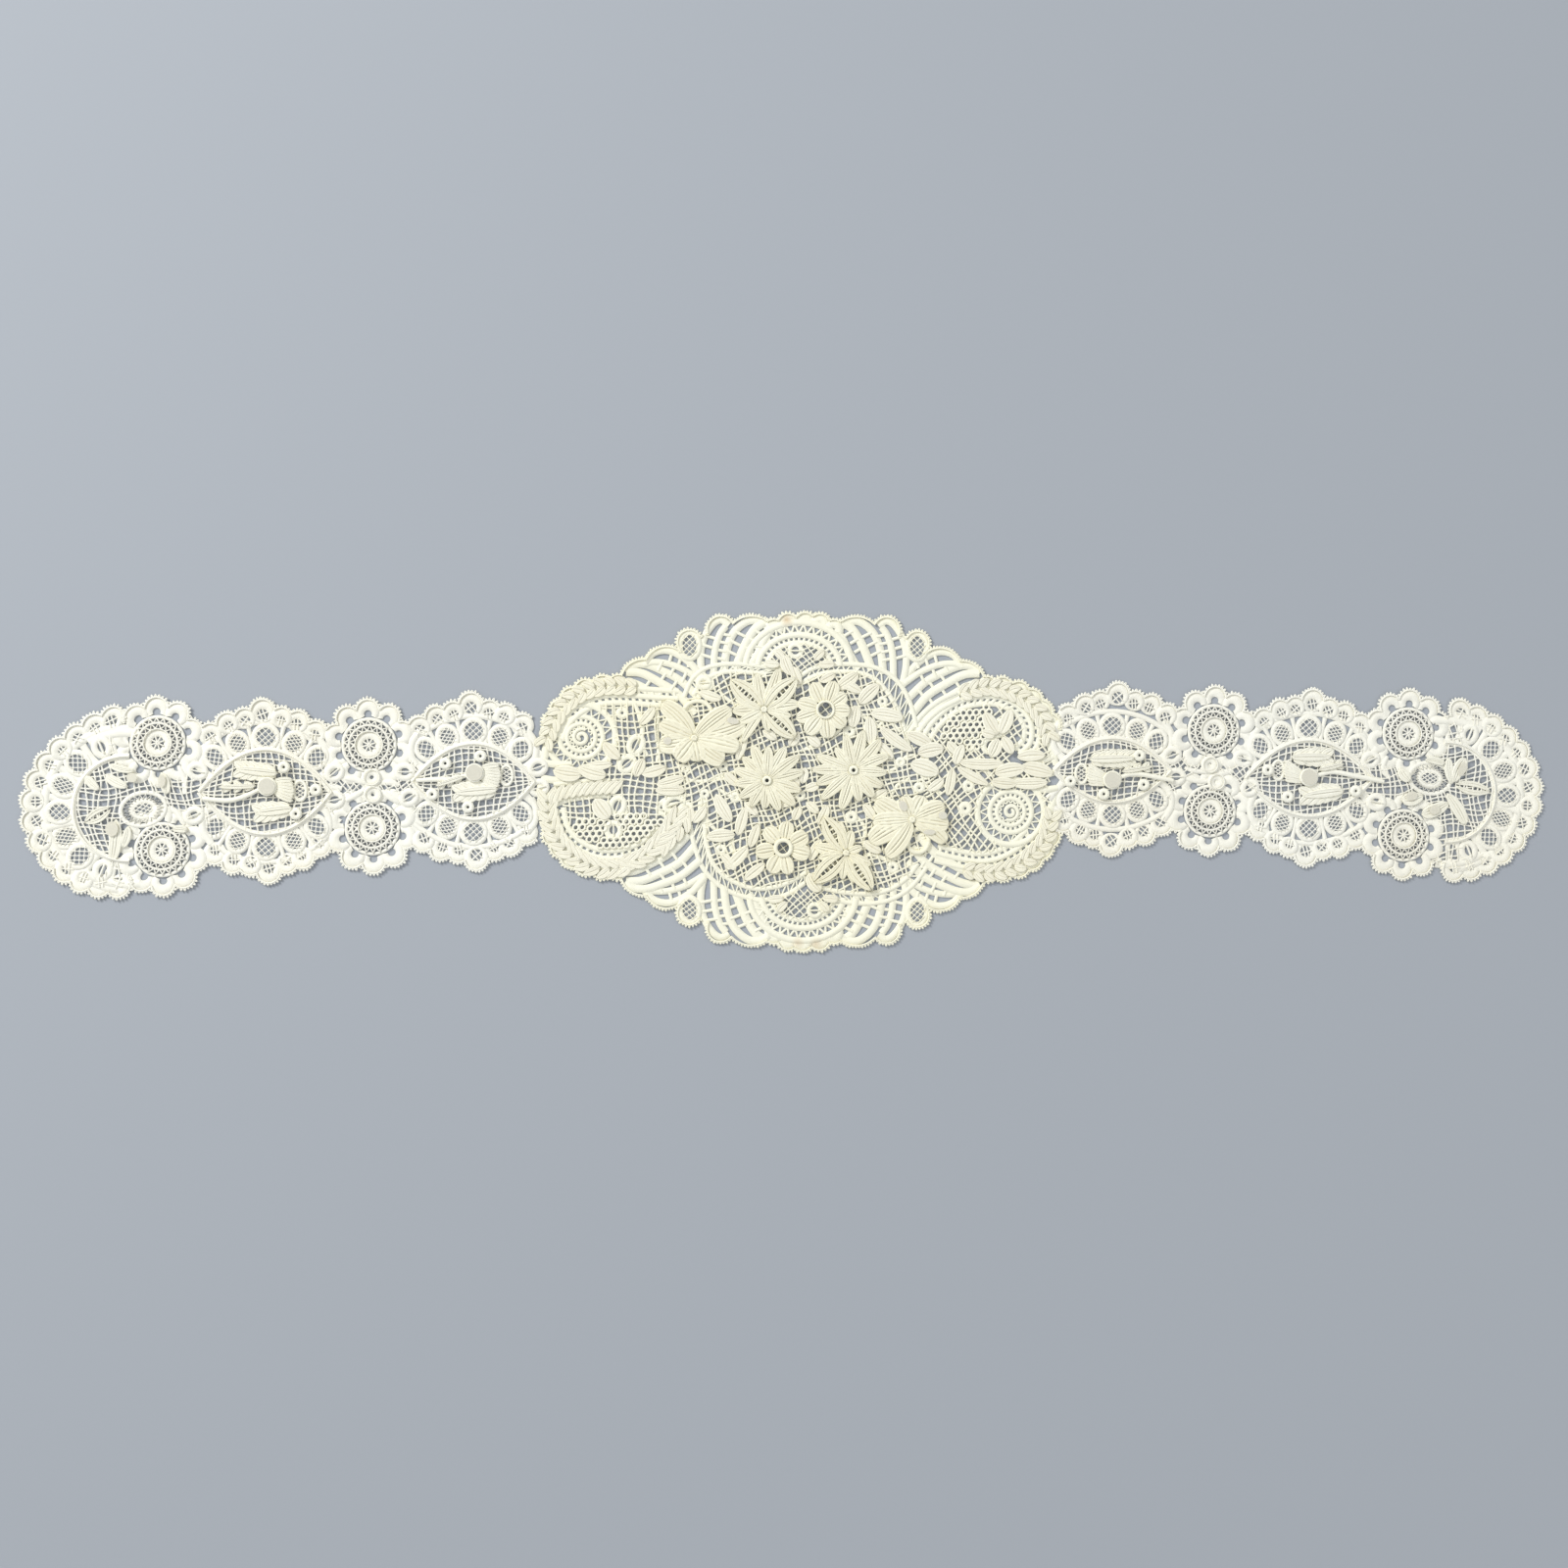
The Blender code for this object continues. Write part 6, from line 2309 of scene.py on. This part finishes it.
@dataclass(frozen=True)
class Paper:
    """The plain floor."""

    name: str
    colour: tuple[float, float, float, float]

    def make(self) -> bpy.types.Material:
        """Build the material."""
        tree = ShaderTree(self.name)
        tree.feed(tree.surface.inputs["Base Color"], self.colour)
        tree.feed(tree.surface.inputs["Roughness"], 0.9)
        return tree.material


MEDALLION_LINEN = Linen(
    "linen_cream", tint(254, 252, 232), tint(253, 247, 216), tint(212, 204, 174), stains=STAINS
)
FLOWER_LINEN = Linen("linen_flower", tint(255, 252, 229), tint(254, 247, 212), tint(194, 181, 142))
LEAF_LINEN = Linen("linen_leaf", tint(255, 252, 233), tint(254, 248, 217), tint(200, 189, 154))
THISTLE_LINEN = Linen("linen_thistle", tint(255, 253, 238), tint(253, 249, 226), tint(204, 196, 168))
ARM_LINEN = Linen("linen_white", tint(254, 252, 239), tint(251, 246, 227), tint(184, 176, 156))
CREAM_THREAD = Linen(
    "cream_thread", tint(254, 251, 230), tint(252, 246, 214), tint(200, 190, 160), thread=0.0005, relief=0.9
)
WHITE_THREAD = Linen(
    "white_thread", tint(253, 251, 239), tint(250, 245, 225), tint(196, 188, 166), thread=0.0005, relief=0.9
)
SHEER = Sheer("sheer_gauze", tint(236, 232, 215))
FLOOR = Paper("pale_floor", tint(166, 171, 177))


# ---------------------------------------------------------------- pieces


PICOT_PITCH = 1.5 * MM
PICOT_SIZE = 0.58 * MM
PICOT_THREAD = 0.4 * MM
SHEER_TOP = 2.2  # height of a sheer disc, mm
FLOWER_SLOT = "lace_flowers"
FLOWER_RISE = 1.4  # how much higher the raised flowers stand than they are drawn


@dataclass
class Workshop:
    """Turns patterns into finished pieces."""

    sweep: SweepTree = field(default_factory=SweepTree)
    picots: PicotTree = field(default_factory=PicotTree)
    tape_shape: bpy.types.Object = field(default_factory=lambda: profile_curve("tape_shape", tape_profile()))
    cord_shape: bpy.types.Object = field(default_factory=lambda: profile_curve("cord_shape", cord_profile(6)))
    strand_shape: bpy.types.Object = field(
        default_factory=lambda: profile_curve("strand_shape", cord_profile(5, 0.72))
    )

    def swept(
        self, name: str, strokes: list[Stroke], shape: bpy.types.Object, finish: bpy.types.Material, slot: str
    ) -> bpy.types.Object:
        """Sweep a cross-section along strokes.

        Args:
            name: The piece's name.
            strokes: Where it runs.
            shape: Its cross-section.
            finish: Its material.
            slot: The record's material slot.

        Returns:
            The piece.
        """
        even = 1.0 if shape is self.tape_shape else 0.0
        values = {"Profile": shape, "Material": finish, "Even": even}
        made = self.sweep.apply(thread_curve(name, strokes), name, values)
        return self.finished(made, slot)

    def fringe(
        self, name: str, edges: list[Stroke], finish: bpy.types.Material, slot: str
    ) -> bpy.types.Object:
        """Set picots along edges."""
        values = {"Pitch": PICOT_PITCH, "Size": PICOT_SIZE, "Thread": PICOT_THREAD, "Material": finish}
        made = self.picots.apply(thread_curve(name, edges), name, values)
        return self.finished(made, slot)

    def relief(
        self, name: str, pricking: Pricking, finish: bpy.types.Material, slot: str, nodes: Sequence[str] = ()
    ) -> bpy.types.Object:
        """Raise a pattern's petals, and join its rings to them.

        Args:
            name: The piece's name.
            pricking: Its pattern.
            finish: Its material.
            slot: The record's material slot.
            nodes: The solids that it stands for.

        Returns:
            The piece.
        """
        gathered = ReliefMesh()
        for patch in pricking.patches:
            gathered.add(patch)
        made = gathered.build(name, finish)
        bands = pricking.tapes + pricking.straps
        if nodes and bands:
            joined(made, [self.swept(name + "_rings", bands, self.tape_shape, finish, slot)])
        self.finished(made, slot)
        if nodes:
            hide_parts(*nodes)
        return made

    def sheers(
        self, name: str, discs: Sequence[Sequence[float]], finish: bpy.types.Material, slot: str
    ) -> bpy.types.Object:
        """Lay sheer discs on the cloth."""
        mesh = bpy.data.meshes.new(name)
        points: list[tuple[float, float, float]] = []
        faces: list[tuple[int, ...]] = []
        for x, y, half_x, half_y, turn in discs:
            rim = ellipse(x, y, half_x, half_y, turn, 0.7)
            first = len(points)
            for height in (SHEER_TOP, SHEER_TOP - 0.1):
                points += [(px * MM, py * MM, height * MM) for px, py in rim]
            count = len(rim)
            faces.append(tuple(range(first, first + count)))
            faces.append(tuple(range(first + 2 * count - 1, first + count - 1, -1)))
            for k in range(count):
                n = (k + 1) % count
                faces.append((first + k, first + count + k, first + count + n, first + n))
        mesh.from_pydata(points, [], faces)
        mesh.materials.append(finish)
        made = in_scene(name, mesh)
        outward(made)
        return self.finished(made, slot)

    def finished(self, piece: bpy.types.Object, slot: str) -> bpy.types.Object:
        """Have a piece ride on the body; raised work, by its slot, stands higher."""
        rise = FLOWER_RISE if slot == FLOWER_SLOT else 1.0
        for vertex in piece.data.vertices:
            height = vertex.co.z * rise + BEDDING
            vertex.co.z = height if height > SOLE else SOLE * math.exp(height / SOLE - 1.0)
        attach(piece, BODY)
        LOG.info("%s: %d faces", piece.name, len(piece.data.polygons))
        return piece

    def tidy(self) -> None:
        """Remove the cross-sections."""
        for shape in (self.tape_shape, self.cord_shape, self.strand_shape):
            bpy.data.objects.remove(shape)


def joined(target: bpy.types.Object, others: Sequence[bpy.types.Object]) -> None:
    """Join other meshes into one piece."""
    every = [target, *others]
    with bpy.context.temp_override(
        active_object=target, object=target, selected_objects=every, selected_editable_objects=every
    ):
        bpy.ops.object.join()


# ---------------------------------------------------------------- the room


@dataclass(frozen=True)
class Studio:
    """Camera, light and floor."""

    lens: float = 35.0
    camera: tuple[float, float, float] = (-0.0585, -0.00103, 0.7994)
    camera_turn: float = -3.44

    def build(self) -> None:
        """Make them."""
        scene = bpy.context.scene
        scene.view_settings.view_transform = "Standard"
        data = bpy.data.cameras.new("camera")
        data.lens, data.sensor_width = self.lens, 36.0
        data.clip_start = 0.01
        camera = in_scene("camera", data)
        camera.location = self.camera
        camera.rotation_euler = (0.0, math.radians(self.camera_turn), 0.0)
        scene.camera = camera
        self._floor()
        self._light("key", (-1.9, 1.6, 1.55), 0.8, 65.0)
        self._light("fill", (1.6, -0.9, 1.6), 1.8, 9.0)
        world = bpy.data.worlds.new("room")
        world.use_nodes = True
        background = world.node_tree.nodes["Background"]
        background.inputs["Color"].default_value = (0.93, 0.96, 1.0, 1.0)
        background.inputs["Strength"].default_value = 0.60
        scene.world = world

    def _floor(self) -> None:
        """A plain pale floor under the lace."""
        mesh = bpy.data.meshes.new("floor")
        half = 1.6
        corners = [(x * half, y * half, 0.0) for x, y in ((-1, -1), (1, -1), (1, 1), (-1, 1))]
        mesh.from_pydata(corners, [], [(0, 1, 2, 3)])
        mesh.materials.append(FLOOR.make())
        in_scene("floor", mesh)

    def _light(self, name: str, place: tuple[float, float, float], size: float, power: float) -> None:
        """A square soft light aimed at the middle."""
        data = bpy.data.lights.new(name, "AREA")
        data.size, data.energy = size, power
        light = in_scene(name, data)
        light.location = place
        light.rotation_euler = (-Vector(place)).to_track_quat("-Z", "Y").to_euler()


# ---------------------------------------------------------------- building it


@dataclass(frozen=True)
class Finishes:
    """The materials of one part: its tapes, threads, leaves, raised petals and sheer discs."""

    tape: bpy.types.Material
    thread: bpy.types.Material
    leaf: bpy.types.Material
    petal: bpy.types.Material
    gauze: bpy.types.Material


def make_part(
    shop: Workshop, node: str, cloth: Pricking, finishes: Finishes, slot: str
) -> tuple[bpy.types.Object, list[bpy.types.Object]]:
    """Make the tapes, strands, cords, picots, leaves and discs of one part.

    Args:
        shop: Makes the pieces.
        node: The solid that the cloth stands for, which names the pieces.
        cloth: Its pattern.
        finishes: Its materials.
        slot: The record's material slot.

    Returns:
        The cloth, and the pieces that go with it.
    """
    sheet = shop.swept(f"{node}_cloth", cloth.tapes, shop.tape_shape, finishes.tape, slot)
    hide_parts(node)
    others = [
        shop.swept(f"{node}_ground", cloth.strands, shop.strand_shape, finishes.thread, slot),
        shop.fringe(f"{node}_picots", cloth.edges, finishes.thread, slot),
    ]
    if cloth.straps:
        others.append(shop.swept(f"{node}_bars", cloth.straps, shop.tape_shape, finishes.tape, slot))
    if cloth.cords:
        others.append(shop.swept(f"{node}_gimp", cloth.cords, shop.cord_shape, finishes.thread, slot))
    if cloth.patches:
        others.append(shop.relief(f"{node}_leaves", cloth, finishes.leaf, slot))
    if cloth.sheer:
        others.append(shop.sheers(f"{node}_gauze", cloth.sheer, finishes.gauze, slot))
    return sheet, others


def add_flowers(
    shop: Workshop, flowers: dict[str, Pricking], finishes: Finishes
) -> list[bpy.types.Object]:
    """Make the raised flowers.

    Args:
        shop: Makes the pieces.
        flowers: Their patterns, by node.
        finishes: Their materials.

    Returns:
        The pieces.
    """
    slot, made = FLOWER_SLOT, []
    for node, pricking in flowers.items():
        made.append(shop.relief(f"{node}_petals", pricking, finishes.petal, slot, [node]))
        if pricking.strands:
            threads = shop.swept(
                f"{node}_threads",
                pricking.strands,
                shop.strand_shape,
                finishes.thread,
                slot,
            )
            made.append(threads)
        if pricking.sheer:
            made.append(shop.sheers(f"{node}_gauze", pricking.sheer, finishes.gauze, slot))
    return made


def main() -> None:
    """Build the lace and its room."""
    logging.basicConfig(level=logging.INFO, format="%(message)s")
    shop = Workshop()
    gauze, heads = SHEER.make(), THISTLE_LINEN.make()
    cream = Finishes(
        MEDALLION_LINEN.make(), CREAM_THREAD.make(), LEAF_LINEN.make(), FLOWER_LINEN.make(), gauze
    )
    white = Finishes(ARM_LINEN.make(), WHITE_THREAD.make(), heads, heads, gauze)
    cover = Cover()
    cloth, flowers = Medallion(cover=cover).draw()
    LOG.info("medallion drawn")
    sheet, others = make_part(shop, "medallion", cloth, cream, "lace_medallion")
    others += add_flowers(shop, flowers, cream)
    for arm in ARMS:
        arm.cover = cover
        cloth, thistles = arm.draw()
        LOG.info("%s drawn", arm.node)
        sheet, others = make_part(shop, arm.node, cloth, white, "lace_arms")
        others += add_flowers(shop, thistles, white)
    shop.tidy()
    Studio().build()



if __name__ == "__main__":
    main()
